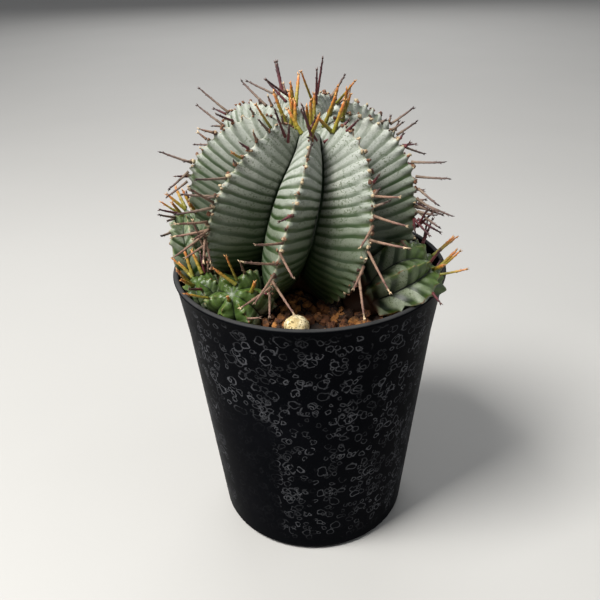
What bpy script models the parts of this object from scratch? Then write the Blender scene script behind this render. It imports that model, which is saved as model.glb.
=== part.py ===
"""Potted euphorbia: a ribbed main stem with four offsets and dry flower stalks, in a tapered pot.

Metres, +Z up. The origin is the middle of the pot's underside and -Y is the front.
An azimuth is measured around the pot's axis in degrees: 0 is the front, 90 is +X.
"""

import math
from dataclasses import dataclass, replace

import bmesh
import bpy
from mathutils import Matrix, Vector

COLLECTION_NAME = "potted_euphorbia"
MM = 0.001

# Pot
POT_RIM_RADIUS = 45.0 * MM
POT_FOOT_RADIUS = 34.0 * MM
POT_HEIGHT = 99.0 * MM
POT_WALL = 1.4 * MM
POT_FLOOR = 1.8 * MM
POT_FOOT_ROUND = 2.4 * MM
POT_LIP_HEIGHT = 1.6 * MM
POT_LIP_PROUD = 0.4 * MM
POT_FLARE_BELOW_RIM = 21.0 * MM
POT_FLARE_INSET = 0.7 * MM
POT_STEPS = 48
DRAIN_COUNT = 6
DRAIN_RADIUS = 3.0 * MM
DRAIN_CIRCLE = 20.0 * MM
DRAIN_TURN = 10.0

# Soil
SOIL_BELOW_RIM = 6.5 * MM
SOIL_MOUND = 3.5 * MM
SOIL_RINGS = 5
SOIL_STEPS = 40

# Fits
SOIL_CLEARANCE = 0.3 * MM
SKIN_CLEARANCE = 0.45 * MM
SEAT_CLEARANCE = 0.3 * MM
MERGE_DISTANCE = 0.00001

# Loose pieces on the soil
PELLET_RADIUS = 3.9 * MM
PELLET_FLATTEN = 0.86

# Shape of every ribbed stem
EQUATOR_SHARE = 0.6
SHOULDER_POWER = 0.85
UNDERSIDE_POWER = 0.9
FLANK_POWER = 0.8
ROOT_RINGS = 3
POCKET_FACETS = 3

# Dry flower stalks
STALK_RADIUS = 0.5 * MM
STALK_SIDES_RESOLUTION = 1
STALK_TAPER = (1.0, 0.8, 0.7, 0.4)
STALK_BEND = 0.05


@dataclass(frozen=True)
class Stem:
    """One ribbed stem, upright on its neck before it is leaned and placed."""

    name: str
    ribs: int
    radius: float
    above: float
    below: float
    neck: float
    root: float
    dip: float
    furrow: float
    first_rib: float
    twist: float
    tooth: float
    azimuth: float
    reach: float
    lift: float
    lean: float
    lean_azimuth: float
    rings: int
    facets: int
    colour: tuple


STEM_LIFT = POT_HEIGHT - SOIL_BELOW_RIM + SOIL_MOUND
OFFSET_LIFT = POT_HEIGHT - SOIL_BELOW_RIM

MAIN_STEM = Stem(
    name="main_stem", ribs=9, radius=36.0 * MM, above=34.0 * MM, below=24.0 * MM, neck=9.0 * MM,
    root=12.0 * MM, dip=9.0 * MM, furrow=0.48, first_rib=-13.0, twist=22.0, tooth=0.5 * MM,
    azimuth=-90.0, reach=2.6 * MM, lift=STEM_LIFT, lean=8.0, lean_azimuth=20.0, rings=24,
    facets=6, colour=(0.21, 0.29, 0.23),
)

OFFSETS = (
    Stem(
        name="offset_right", ribs=7, radius=12.8 * MM, above=10.5 * MM, below=12.0 * MM,
        neck=6.0 * MM, root=8.0 * MM, dip=3.0 * MM, furrow=0.36, first_rib=10.0, twist=8.0,
        tooth=0.4 * MM, azimuth=43.0, reach=28.5 * MM, lift=OFFSET_LIFT + 3.0 * MM, lean=55.0,
        lean_azimuth=86.0, rings=12, facets=4, colour=(0.10, 0.20, 0.07),
    ),
    Stem(
        name="offset_front_left", ribs=6, radius=10.8 * MM, above=8.0 * MM, below=7.0 * MM,
        neck=5.0 * MM, root=6.0 * MM, dip=1.5 * MM, furrow=0.4, first_rib=20.0, twist=8.0,
        tooth=0.4 * MM, azimuth=-42.0, reach=29.5 * MM, lift=OFFSET_LIFT, lean=40.0,
        lean_azimuth=-25.0, rings=12, facets=4, colour=(0.08, 0.19, 0.05),
    ),
    Stem(
        name="offset_left", ribs=6, radius=7.0 * MM, above=6.0 * MM, below=5.0 * MM,
        neck=4.0 * MM, root=6.0 * MM, dip=1.0 * MM, furrow=0.3, first_rib=20.0, twist=6.0,
        tooth=0.3 * MM, azimuth=-62.0, reach=36.0 * MM, lift=OFFSET_LIFT, lean=24.0,
        lean_azimuth=-62.0, rings=10, facets=4, colour=(0.10, 0.20, 0.07),
    ),
    Stem(
        name="offset_back_left", ribs=6, radius=9.0 * MM, above=14.0 * MM, below=12.0 * MM,
        neck=5.0 * MM, root=7.0 * MM, dip=1.5 * MM, furrow=0.34, first_rib=5.0, twist=6.0,
        tooth=0.4 * MM, azimuth=-92.0, reach=34.5 * MM, lift=OFFSET_LIFT, lean=12.0,
        lean_azimuth=-92.0, rings=12, facets=4, colour=(0.18, 0.26, 0.18),
    ),
)


# Where the stalks grow, chosen rib by rib: (share of the way from crown to neck, length in mm,
# lean along the pot's turn and lean towards the crown in degrees, colour).
MAIN_STALKS = {
    0: (
        (0.17, 11, -15, -5, "maroon"), (0.53, 12, -30, 10, "woody"), (0.56, 12, 30, 0, "woody"),
        (0.59, 14, -35, 25, "woody"), (0.62, 12, -10, -10, "woody"), (0.65, 14, 40, 10, "woody"),
        (0.68, 12, -30, 5, "woody"), (0.71, 9, 15, 15, "woody"),
    ),
    1: (
        (0.41, 11, 0, -5, "woody"), (0.47, 12, 10, -5, "woody"), (0.50, 13, -50, -25, "woody"),
        (0.54, 13, 15, 10, "woody"), (0.57, 14, 5, -30, "woody"), (0.61, 11, -45, -15, "woody"),
        (0.65, 13, -15, -20, "woody"),
    ),
    2: (
        (0.10, 10, -40, -30, "young"), (0.39, 10, -10, -20, "tan"), (0.44, 10, -5, -15, "tan"),
        (0.48, 8, -25, -40, "tan"), (0.52, 11, -10, -20, "tan"), (0.57, 8, -10, -20, "maroon"),
    ),
    3: (
        (0.10, 11, -40, -25, "young"), (0.35, 9, 0, -10, "tan"), (0.40, 8, 5, -5, "tan"),
        (0.45, 10, 20, -45, "tan"),
    ),
    4: ((0.08, 12, 15, -5, "young"), (0.12, 11, -5, -10, "maroon"), (0.26, 8, -15, -15, "tan")),
    5: ((0.11, 11, 50, 10, "maroon"), (0.18, 9, 5, 0, "maroon"), (0.28, 12, 50, -20, "tan")),
    6: ((0.32, 12, 10, -10, "tan"), (0.40, 11, 5, -5, "tan"), (0.50, 10, 25, -20, "tan")),
    7: (
        (0.22, 8, 40, -15, "maroon"), (0.45, 10, 0, 0, "tan"), (0.49, 8, 45, -45, "tan"),
        (0.53, 8, 30, -40, "tan"),
    ),
    8: (
        (0.16, 11, 5, -25, "young"), (0.30, 9, 25, -5, "young"), (0.38, 11, 5, -15, "tan"),
        (0.47, 11, 0, 25, "woody"), (0.54, 11, 0, 10, "woody"), (0.58, 12, 10, -15, "woody"),
    ),
}
OFFSET_STALKS = {
    "offset_right": {
        0: ((0.15, 8, 10, -10, "young"),),
        2: ((0.13, 8, 5, 10, "young"),),
        3: ((0.15, 9, 5, 0, "young"),),
    },
    "offset_front_left": {
        2: ((0.13, 10, 10, -15, "young"),),
        4: ((0.26, 8, 5, -5, "young"),),
    },
    "offset_left": {3: ((0.26, 8, 15, 0, "young"),)},
    "offset_back_left": {4: ((0.12, 6, 25, -20, "young"),)},
}
STALK_COLOURS = {
    "woody": (0.34, 0.20, 0.15),
    "tan": (0.22, 0.17, 0.14),
    "maroon": (0.07, 0.02, 0.025),
    "young": (0.35, 0.26, 0.04),
}


def clear_scene():
    """Remove every object, so that the file can be run again."""
    for old in list(bpy.data.objects):
        bpy.data.objects.remove(old, do_unlink=True)


def new_collection(name):
    """A collection under the scene."""
    made = bpy.data.collections.new(name)
    bpy.context.scene.collection.children.link(made)
    return made


def new_material(name, colour, roughness, metallic=0.0):
    """A Principled material."""
    made = bpy.data.materials.new(name)
    made.use_nodes = True
    shader = made.node_tree.nodes["Principled BSDF"]
    shader.inputs["Base Color"].default_value = (*colour, 1.0)
    shader.inputs["Roughness"].default_value = roughness
    shader.inputs["Metallic"].default_value = metallic
    made.diffuse_color = (*colour, 1.0)
    return made


def new_object(name, data, collection, material=None):
    """An object in a collection, with its material."""
    made = bpy.data.objects.new(name, data)
    collection.objects.link(made)
    if material is not None:
        data.materials.append(material)
    return made


def mesh_from(bm, name):
    """A smooth-shaded mesh from a bmesh, which is freed."""
    bmesh.ops.recalc_face_normals(bm, faces=bm.faces)
    mesh = bpy.data.meshes.new(name)
    bm.to_mesh(mesh)
    bm.free()
    mesh.shade_smooth()
    mesh.set_sharp_from_angle(angle=math.radians(40.0))
    return mesh


def hide_cutter(cutter):
    """Show a cutter as a wire, and never render it."""
    cutter.hide_render = True
    cutter.display_type = "WIRE"


def cut(target, cutter, operation="DIFFERENCE"):
    """Add an exact Boolean to an object."""
    modifier = target.modifiers.new(f"cut_{cutter.name}", "BOOLEAN")
    modifier.operation = operation
    modifier.object = cutter
    modifier.solver = "EXACT"


def turned(name, profile, steps, collection, material=None):
    """A turned body: a profile in X and Z, outer side first from top to bottom, with a Screw."""
    bm = bmesh.new()
    verts = [bm.verts.new((radius, 0.0, height)) for radius, height in profile]
    for first, second in zip(verts, verts[1:]):
        bm.edges.new((first, second))
    if profile[0][0] > 0.0:
        bm.edges.new((verts[-1], verts[0]))
    mesh = bpy.data.meshes.new(name)
    bm.to_mesh(mesh)
    bm.free()
    made = new_object(name, mesh, collection, material)
    screw = made.modifiers.new("turn", "SCREW")
    screw.steps = steps
    screw.render_steps = steps
    screw.use_merge_vertices = True
    screw.merge_threshold = MERGE_DISTANCE
    screw.use_smooth_shade = True
    return made


def front_direction(azimuth):
    """The level direction at an azimuth around the pot."""
    turn = math.radians(azimuth)
    return Vector((math.sin(turn), -math.cos(turn), 0.0))


def smooth_step(low, high, value):
    """0 below low, 1 above high, with an even curve between."""
    share = min(1.0, max(0.0, (value - low) / (high - low)))
    return share * share * (3.0 - 2.0 * share)


# --- Pot -------------------------------------------------------------------------------------

def pot_outer_radius(height):
    """Radius of the pot's outer wall at a height, lip left out."""
    flare_height = POT_HEIGHT - POT_FLARE_BELOW_RIM
    straight = POT_FOOT_RADIUS + (POT_RIM_RADIUS - POT_FOOT_RADIUS) * flare_height / POT_HEIGHT
    flare_radius = straight - POT_FLARE_INSET
    if height >= flare_height:
        share = (height - flare_height) / POT_FLARE_BELOW_RIM
        return flare_radius + (POT_RIM_RADIUS - flare_radius) * share
    share = height / flare_height
    return POT_FOOT_RADIUS + (flare_radius - POT_FOOT_RADIUS) * share


def pot_inner_radius(height):
    """Radius of the pot's inner wall at a height."""
    return pot_outer_radius(height) - POT_WALL


def pot_profile():
    """The pot's closed section, from the top of the lip down the outside and back up the inside."""
    flare_height = POT_HEIGHT - POT_FLARE_BELOW_RIM
    lip_bottom = POT_HEIGHT - POT_LIP_HEIGHT
    lip_radius = POT_RIM_RADIUS + POT_LIP_PROUD
    half_lip = 0.5 * POT_LIP_HEIGHT
    points = [
        (0.0, POT_FLOOR),
    ]
    inside = [
        (pot_inner_radius(POT_FLOOR) - POT_FOOT_ROUND, POT_FLOOR),
        (pot_inner_radius(POT_FLOOR + POT_FOOT_ROUND), POT_FLOOR + POT_FOOT_ROUND),
        (pot_inner_radius(flare_height), flare_height),
        (pot_inner_radius(POT_HEIGHT - half_lip), POT_HEIGHT - half_lip),
    ]
    lip = [
        (POT_RIM_RADIUS - 0.7 * POT_WALL, POT_HEIGHT),
        (POT_RIM_RADIUS, POT_HEIGHT),
        (lip_radius, POT_HEIGHT - 0.3 * POT_LIP_HEIGHT),
        (lip_radius, POT_HEIGHT - 0.8 * POT_LIP_HEIGHT),
        (pot_outer_radius(lip_bottom), lip_bottom),
    ]
    outside = [
        (pot_outer_radius(flare_height), flare_height),
    ]
    corner_steps = 3
    for step in range(corner_steps + 1):
        turn = 0.5 * math.pi * step / corner_steps
        radius = pot_outer_radius(POT_FOOT_ROUND) - POT_FOOT_ROUND * (1.0 - math.cos(turn))
        outside.append((radius, POT_FOOT_ROUND * (1.0 - math.sin(turn))))
    points += inside + lip + outside
    points.append((0.0, 0.0))
    return points


def build_pot(parts, cutters):
    """The tapered pot with its lip, flared top and drain holes."""
    material = new_material("pot_plastic", (0.012, 0.013, 0.016), 0.45)
    pot = turned("pot", pot_profile(), POT_STEPS, parts, material)
    for index in range(DRAIN_COUNT):
        bm = bmesh.new()
        bmesh.ops.create_cone(
            bm, cap_ends=True, segments=12, radius1=DRAIN_RADIUS, radius2=DRAIN_RADIUS,
            depth=4.0 * POT_FLOOR)
        hole = new_object(f"drain_cutter_{index + 1}", mesh_from(bm, "drain_cutter"), cutters)
        hole.location = DRAIN_CIRCLE * front_direction(DRAIN_TURN + 360.0 * index / DRAIN_COUNT)
        hole.rotation_euler.z = math.radians(DRAIN_TURN)
        hide_cutter(hole)
        cut(pot, hole)
    return pot


# --- Ribbed stems ----------------------------------------------------------------------------

def crest_section(stem, station):
    """Radius and height of a rib's crest: station 0 is the crown and 1 is the neck."""
    if station < EQUATOR_SHARE:
        turn = 0.5 * math.pi * station / EQUATOR_SHARE
        radius = stem.radius * math.sin(turn) ** SHOULDER_POWER
        rise = stem.above * math.cos(turn) ** SHOULDER_POWER
        hollow = stem.dip * math.exp(-((radius / (0.26 * stem.radius)) ** 2))
        return radius, stem.below + rise - hollow
    turn = 0.5 * math.pi * (station - EQUATOR_SHARE) / (1.0 - EQUATOR_SHARE)
    radius = stem.neck + (stem.radius - stem.neck) * math.cos(turn) ** UNDERSIDE_POWER
    return radius, stem.below * (1.0 - math.sin(turn))


def rib_azimuth(stem, rib, station):
    """Azimuth of a rib at a station, with the stem's twist."""
    twisted = stem.twist * (1.0 - station / EQUATOR_SHARE)
    return stem.first_rib + 360.0 * rib / stem.ribs + twisted


def stem_point(stem, azimuth, station):
    """A point of the ribbed surface, in the stem's own frame."""
    radius, height = crest_section(stem, station)
    across = (azimuth - rib_azimuth(stem, 0, station)) * stem.ribs / 360.0
    crest = abs(2.0 * (across % 1.0) - 1.0)
    fade = smooth_step(0.0, 0.2, station) * (1.0 - smooth_step(0.85, 1.0, station))
    sunk = stem.furrow * fade * (1.0 - crest ** FLANK_POWER)
    radius *= 1.0 - sunk
    height -= (height - stem.below) * sunk * 0.6
    return radius * front_direction(azimuth) + Vector((0.0, 0.0, height))


def stem_matrix(stem):
    """Where a stem stands: on its neck, leaned towards its own azimuth."""
    axis = Vector((0.0, 0.0, 1.0)).cross(front_direction(stem.lean_azimuth))
    spot = stem.reach * front_direction(stem.azimuth)
    place = Matrix.Translation(spot + Vector((0.0, 0.0, stem.lift)))
    return place @ Matrix.Rotation(math.radians(stem.lean), 4, axis)


def stem_mesh(stem, grown=0.0):
    """A stem's closed body from a sphere, grown outwards by a clearance for a cutter."""
    bm = bmesh.new()
    around = stem.ribs * stem.facets
    bmesh.ops.create_uvsphere(bm, u_segments=around, v_segments=stem.rings, radius=1.0)
    neck_ring = stem.rings - ROOT_RINGS
    for vert in bm.verts:
        ring = round(stem.rings * math.acos(max(-1.0, min(1.0, vert.co.z))) / math.pi)
        azimuth = math.degrees(math.atan2(vert.co.x, -vert.co.y))
        if ring <= neck_ring:
            station = ring / neck_ring
            twisted = azimuth + rib_azimuth(stem, 0, station)
            vert.co = stem_point(stem, twisted, station)
            on_crest = round(azimuth * around / 360.0) % stem.facets == 0
            if on_crest and ring % 2 == 0 and 2 <= ring < neck_ring - 1:
                outwards = front_direction(twisted)
                vert.co += stem.tooth * outwards
        else:
            share = (ring - neck_ring) / (ROOT_RINGS - 1)
            twisted = azimuth + rib_azimuth(stem, 0, 1.0)
            width = 0.0 if ring == stem.rings else stem.neck * (1.0 - 0.12 * share)
            depth = stem.root * min(1.0, share)
            vert.co = width * front_direction(twisted) - Vector((0.0, 0.0, depth))
    bmesh.ops.recalc_face_normals(bm, faces=bm.faces)
    bm.normal_update()
    if grown:
        moves = [(vert, vert.co + grown * vert.normal) for vert in bm.verts]
        for vert, place in moves:
            vert.co = place
    return mesh_from(bm, stem.name)


def build_stem(stem, parts):
    """One ribbed stem in its place."""
    material = new_material(f"{stem.name}_skin", stem.colour, 0.6)
    made = new_object(stem.name, stem_mesh(stem), parts, material)
    made.matrix_world = stem_matrix(stem)
    return made


def build_stem_cutter(stem, cutters):
    """A stem grown by the skin clearance, to cut what it presses against."""
    made = new_object(f"{stem.name}_cutter", stem_mesh(stem, SKIN_CLEARANCE), cutters)
    made.matrix_world = stem_matrix(stem)
    hide_cutter(made)
    return made


def build_pocket_cutter(stem, cutters):
    """A stem without furrows, grown clear of its teeth, to open its pocket in the soil."""
    plain = replace(stem, furrow=0.0, tooth=0.0, facets=POCKET_FACETS)
    made = new_object(f"{stem.name}_pocket", stem_mesh(plain, SKIN_CLEARANCE + stem.tooth), cutters)
    made.matrix_world = stem_matrix(stem)
    hide_cutter(made)
    return made


def build_rim_cutter(cutters):
    """All that lies outside the pot's inner wall and below its lip."""
    room = 4.0 * POT_RIM_RADIUS
    top = POT_HEIGHT + SKIN_CLEARANCE
    inner_top = pot_inner_radius(POT_HEIGHT) - SKIN_CLEARANCE
    inner_bottom = pot_inner_radius(0.0) - SKIN_CLEARANCE
    profile = [(room, top), (room, -POT_FLOOR), (inner_bottom, -POT_FLOOR), (inner_top, top)]
    cutter = turned("rim_cutter", profile, POT_STEPS, cutters)
    hide_cutter(cutter)
    return cutter


# --- Dry flower stalks -----------------------------------------------------------------------

def crest_frame(stem, rib, station):
    """A crest's point in place, with its outward, crownward and sideways directions."""
    place = stem_matrix(stem)
    step = 0.01
    point = place @ stem_point(stem, rib_azimuth(stem, rib, station), station)
    above = place @ stem_point(stem, rib_azimuth(stem, rib, station - step), station - step)
    below = place @ stem_point(stem, rib_azimuth(stem, rib, station + step), station + step)
    crownward = (above - below).normalized()
    around = front_direction(rib_azimuth(stem, rib, station) + 90.0)
    sideways = place.to_3x3() @ around
    sideways = (sideways - sideways.dot(crownward) * crownward).normalized()
    outward = crownward.cross(sideways)
    middle = place @ Vector((0.0, 0.0, stem.below))
    if outward.dot(point - middle) < 0.0:
        outward = -outward
    return point, outward, crownward, sideways


def stalk_points(stem, rib, station, length, side_lean, crown_lean):
    """The stalk's four points, from just off the crest to its tip, bent a little upwards."""
    point, outward, crownward, sideways = crest_frame(stem, rib, station)
    side = math.tan(math.radians(side_lean)) * sideways
    rise = math.tan(math.radians(crown_lean)) * crownward
    along = (outward + side + rise).normalized()
    tilt = abs(math.sin(math.radians(crown_lean)))
    seat = SEAT_CLEARANCE + 0.5 * stem.tooth + STALK_RADIUS * tilt
    start = point + seat * outward
    points = []
    last = len(STALK_TAPER) - 1
    for step in range(last + 1):
        share = step / last
        bend = STALK_BEND * length * (share * share - share)
        points.append(start + share * length * along + Vector((0.0, 0.0, bend)))
    return points


def build_stalk(name, points, material, parts):
    """One stalk: a tapered tube along its points."""
    curve = bpy.data.curves.new(name, "CURVE")
    curve.dimensions = "3D"
    curve.bevel_depth = STALK_RADIUS
    curve.bevel_resolution = STALK_SIDES_RESOLUTION
    curve.use_fill_caps = True
    spline = curve.splines.new("POLY")
    spline.points.add(len(points) - 1)
    origin = points[0]
    for target, place, width in zip(spline.points, points, STALK_TAPER):
        target.co = (*(place - origin), 1.0)
        target.radius = width
    made = new_object(name, curve, parts, material)
    made.location = origin
    return made


def build_stalks(parts):
    """Every stalk, named for its stem, its rib and its number down the rib."""
    materials = {
        kind: new_material(f"stalk_{kind}", colour, 0.8) for kind, colour in STALK_COLOURS.items()
    }
    stands = [(MAIN_STEM, MAIN_STALKS)]
    stands += [(stem, OFFSET_STALKS[stem.name]) for stem in OFFSETS]
    for stem, ribs in stands:
        for rib, rows in ribs.items():
            for number, (station, length, side, rise, kind) in enumerate(rows, start=1):
                name = f"stalk_{stem.name}_rib{rib + 1}_{number}"
                points = stalk_points(stem, rib, station, length * MM, side, rise)
                build_stalk(name, points, materials[kind], parts)


# --- Soil ------------------------------------------------------------------------------------

def soil_height(radius):
    """Height of the soil's surface at a radius: level by the wall, mounded at the plant."""
    wall = pot_inner_radius(POT_HEIGHT - SOIL_BELOW_RIM)
    rise = SOIL_MOUND * (1.0 - smooth_step(0.3 * wall, 0.85 * wall, radius))
    return POT_HEIGHT - SOIL_BELOW_RIM + rise


def build_soil(parts, plant_cutters):
    """The soil, with a pocket around each stem's buried neck."""
    wall_height = POT_HEIGHT - SOIL_BELOW_RIM
    flare_height = POT_HEIGHT - POT_FLARE_BELOW_RIM
    bottom = POT_FLOOR + SOIL_CLEARANCE
    corner = POT_FLOOR + POT_FOOT_ROUND
    edge = pot_inner_radius(wall_height) - SOIL_CLEARANCE
    points = [(0.0, soil_height(0.0))]
    for ring in range(1, SOIL_RINGS + 1):
        radius = edge * ring / SOIL_RINGS
        points.append((radius, soil_height(radius)))
    points.append((pot_inner_radius(flare_height) - SOIL_CLEARANCE, flare_height))
    points.append((pot_inner_radius(corner) - SOIL_CLEARANCE, corner))
    points.append((pot_inner_radius(POT_FLOOR) - POT_FOOT_ROUND - SOIL_CLEARANCE, bottom))
    points.append((0.0, bottom))
    material = new_material("soil_grit", (0.16, 0.07, 0.03), 0.95)
    soil = turned("soil", points, SOIL_STEPS, parts, material)
    for cutter in plant_cutters:
        cut(soil, cutter)
    return soil


def build_pellet(parts):
    """The pale round fertiliser pellet by the front rim."""
    bm = bmesh.new()
    bmesh.ops.create_uvsphere(bm, u_segments=16, v_segments=10, radius=PELLET_RADIUS)
    bmesh.ops.scale(bm, vec=(1.0, 1.0, PELLET_FLATTEN), verts=bm.verts)
    material = new_material("pellet_beige", (0.55, 0.46, 0.30), 0.85)
    pellet = new_object("fertiliser_pellet", mesh_from(bm, "fertiliser_pellet"), parts, material)
    reach = pot_inner_radius(POT_HEIGHT - SOIL_BELOW_RIM) - PELLET_RADIUS - 2.0 * SEAT_CLEARANCE
    spot = reach * front_direction(-7.0)
    rest = soil_height(reach - PELLET_RADIUS) + PELLET_FLATTEN * PELLET_RADIUS + SEAT_CLEARANCE
    pellet.location = (spot.x, spot.y, rest)
    return pellet


def main():
    """Build every piece."""
    clear_scene()
    parts = new_collection(COLLECTION_NAME)
    cutters = new_collection(f"{COLLECTION_NAME}_cutters")
    build_pot(parts, cutters)
    rim_cutter = build_rim_cutter(cutters)
    build_stem(MAIN_STEM, parts)
    earlier = [build_stem_cutter(MAIN_STEM, cutters)]
    for stem in OFFSETS:
        made = build_stem(stem, parts)
        for cutter in [*earlier, rim_cutter]:
            cut(made, cutter)
        earlier.append(build_stem_cutter(stem, cutters))
    build_soil(parts, [build_pocket_cutter(stem, cutters) for stem in (MAIN_STEM, *OFFSETS)])
    build_pellet(parts)
    build_stalks(parts)


main()
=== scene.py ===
"""Looks of the potted euphorbia: its skins, dry stalks, soil and pot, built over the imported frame.

Metres, +Z up, and -Y is the front. An azimuth is measured round the pot's axis in degrees, 0 at
the front and 90 at +X. A station runs down a rib: 0 is the crown and 1 is the neck.
"""

import logging
import math
import random
from dataclasses import dataclass, replace
from enum import Enum
from functools import lru_cache
from typing import Callable, Iterable, Optional, Sequence, Union

import bmesh
import bpy
import numpy as np
from mathutils import Matrix, Vector, noise
from mathutils.bvhtree import BVHTree


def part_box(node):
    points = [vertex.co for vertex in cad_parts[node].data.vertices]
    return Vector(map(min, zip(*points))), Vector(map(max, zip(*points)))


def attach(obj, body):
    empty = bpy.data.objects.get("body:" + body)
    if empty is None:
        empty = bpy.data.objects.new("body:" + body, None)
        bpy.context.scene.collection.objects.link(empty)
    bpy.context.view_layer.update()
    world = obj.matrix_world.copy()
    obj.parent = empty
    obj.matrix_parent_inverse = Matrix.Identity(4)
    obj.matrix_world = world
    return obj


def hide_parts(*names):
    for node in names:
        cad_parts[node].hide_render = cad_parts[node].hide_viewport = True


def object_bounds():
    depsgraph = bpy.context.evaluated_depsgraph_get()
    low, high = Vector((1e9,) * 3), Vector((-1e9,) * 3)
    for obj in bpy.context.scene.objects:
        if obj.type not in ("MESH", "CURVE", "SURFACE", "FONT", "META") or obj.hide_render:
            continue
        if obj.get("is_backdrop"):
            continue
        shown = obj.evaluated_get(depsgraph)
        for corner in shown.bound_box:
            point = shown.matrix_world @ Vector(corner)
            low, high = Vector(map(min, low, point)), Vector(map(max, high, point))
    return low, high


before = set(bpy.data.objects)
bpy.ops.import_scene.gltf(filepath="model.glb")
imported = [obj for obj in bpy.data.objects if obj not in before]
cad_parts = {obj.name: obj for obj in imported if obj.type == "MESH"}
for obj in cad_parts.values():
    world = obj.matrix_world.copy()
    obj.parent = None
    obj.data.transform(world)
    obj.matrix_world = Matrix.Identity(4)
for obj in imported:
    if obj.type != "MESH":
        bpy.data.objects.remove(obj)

LOG = logging.getLogger("euphorbia")
MM = 0.001
SOIL_BELOW_RIM = 6.5 * MM
BODY = "root"
Colour = tuple[float, float, float]
Numbers = np.ndarray


def tint(red: int, green: int, blue: int) -> Colour:
    """A linear colour from its display values, 0 to 255."""
    shares = [value / 255.0 for value in (red, green, blue)]
    return tuple(s / 12.92 if s <= 0.04045 else ((s + 0.055) / 1.055) ** 2.4 for s in shares)


def smooth_step(low: float, high: float, value: Union[Numbers, float]) -> Union[Numbers, float]:
    """0 below low, 1 above high, with an even curve between."""
    share = np.clip((value - low) / (high - low), 0.0, 1.0)
    return share * share * (3.0 - 2.0 * share)


@lru_cache(maxsize=None)
def lip_level() -> float:
    """Height of the pot's lip."""
    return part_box("pot")[1].z


def front_direction(azimuth: float) -> Vector:
    """The level direction at an azimuth in degrees."""
    turn = math.radians(azimuth)
    return Vector((math.sin(turn), -math.cos(turn), 0.0))


# --- Shader maths ----------------------------------------------------------------------------


class Signal:
    """A shader socket that takes part in sums and products."""

    def __init__(self, tree: bpy.types.NodeTree, socket: bpy.types.NodeSocket) -> None:
        """Wrap one output socket."""
        self.tree = tree
        self.socket = socket

    def _math(self, operation: str, *values: Union["Signal", float]) -> "Signal":
        """Add a Math node.

        Args:
            operation: The Math node's operation.
            values: Its inputs in order.

        Returns:
            The node's result.
        """
        made = self.tree.nodes.new("ShaderNodeMath")
        made.operation = operation
        for target, value in zip(made.inputs, values):
            if isinstance(value, Signal):
                self.tree.links.new(value.socket, target)
            else:
                target.default_value = value
        return Signal(self.tree, made.outputs[0])

    def __add__(self, other: Union["Signal", float]) -> "Signal":
        """Sum."""
        return self._math("ADD", self, other)

    __radd__ = __add__

    def __sub__(self, other: Union["Signal", float]) -> "Signal":
        """Difference."""
        return self._math("SUBTRACT", self, other)

    def __rsub__(self, other: float) -> "Signal":
        """Difference from a number."""
        return self._math("SUBTRACT", other, self)

    def __mul__(self, other: Union["Signal", float]) -> "Signal":
        """Product."""
        return self._math("MULTIPLY", self, other)

    def __pow__(self, power: float) -> "Signal":
        """Power."""
        return self._math("POWER", self, power)

    def __abs__(self) -> "Signal":
        """Size without its sign."""
        return self._math("ABSOLUTE", self)

    def fraction(self) -> "Signal":
        """The part after the decimal point."""
        return self._math("FRACT", self)

    def lower(self, other: Union["Signal", float]) -> "Signal":
        """The lower of two values."""
        return self._math("MINIMUM", self, other)

    def higher(self, other: Union["Signal", float]) -> "Signal":
        """The higher of two values."""
        return self._math("MAXIMUM", self, other)

    def step(self, low: float, high: float) -> "Signal":
        """A smooth step from 0 at low to 1 at high.

        Args:
            low: Where the step starts.
            high: Where the step ends; below low, the step falls.

        Returns:
            The stepped value.
        """
        made = self.tree.nodes.new("ShaderNodeMapRange")
        made.interpolation_type = "SMOOTHSTEP"
        falls = high < low
        bounds = (high, low, 1.0, 0.0) if falls else (low, high, 0.0, 1.0)
        for target, value in zip(made.inputs[1:5], bounds):
            target.default_value = value
        self.tree.links.new(self.socket, made.inputs[0])
        return Signal(self.tree, made.outputs[0])


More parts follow.
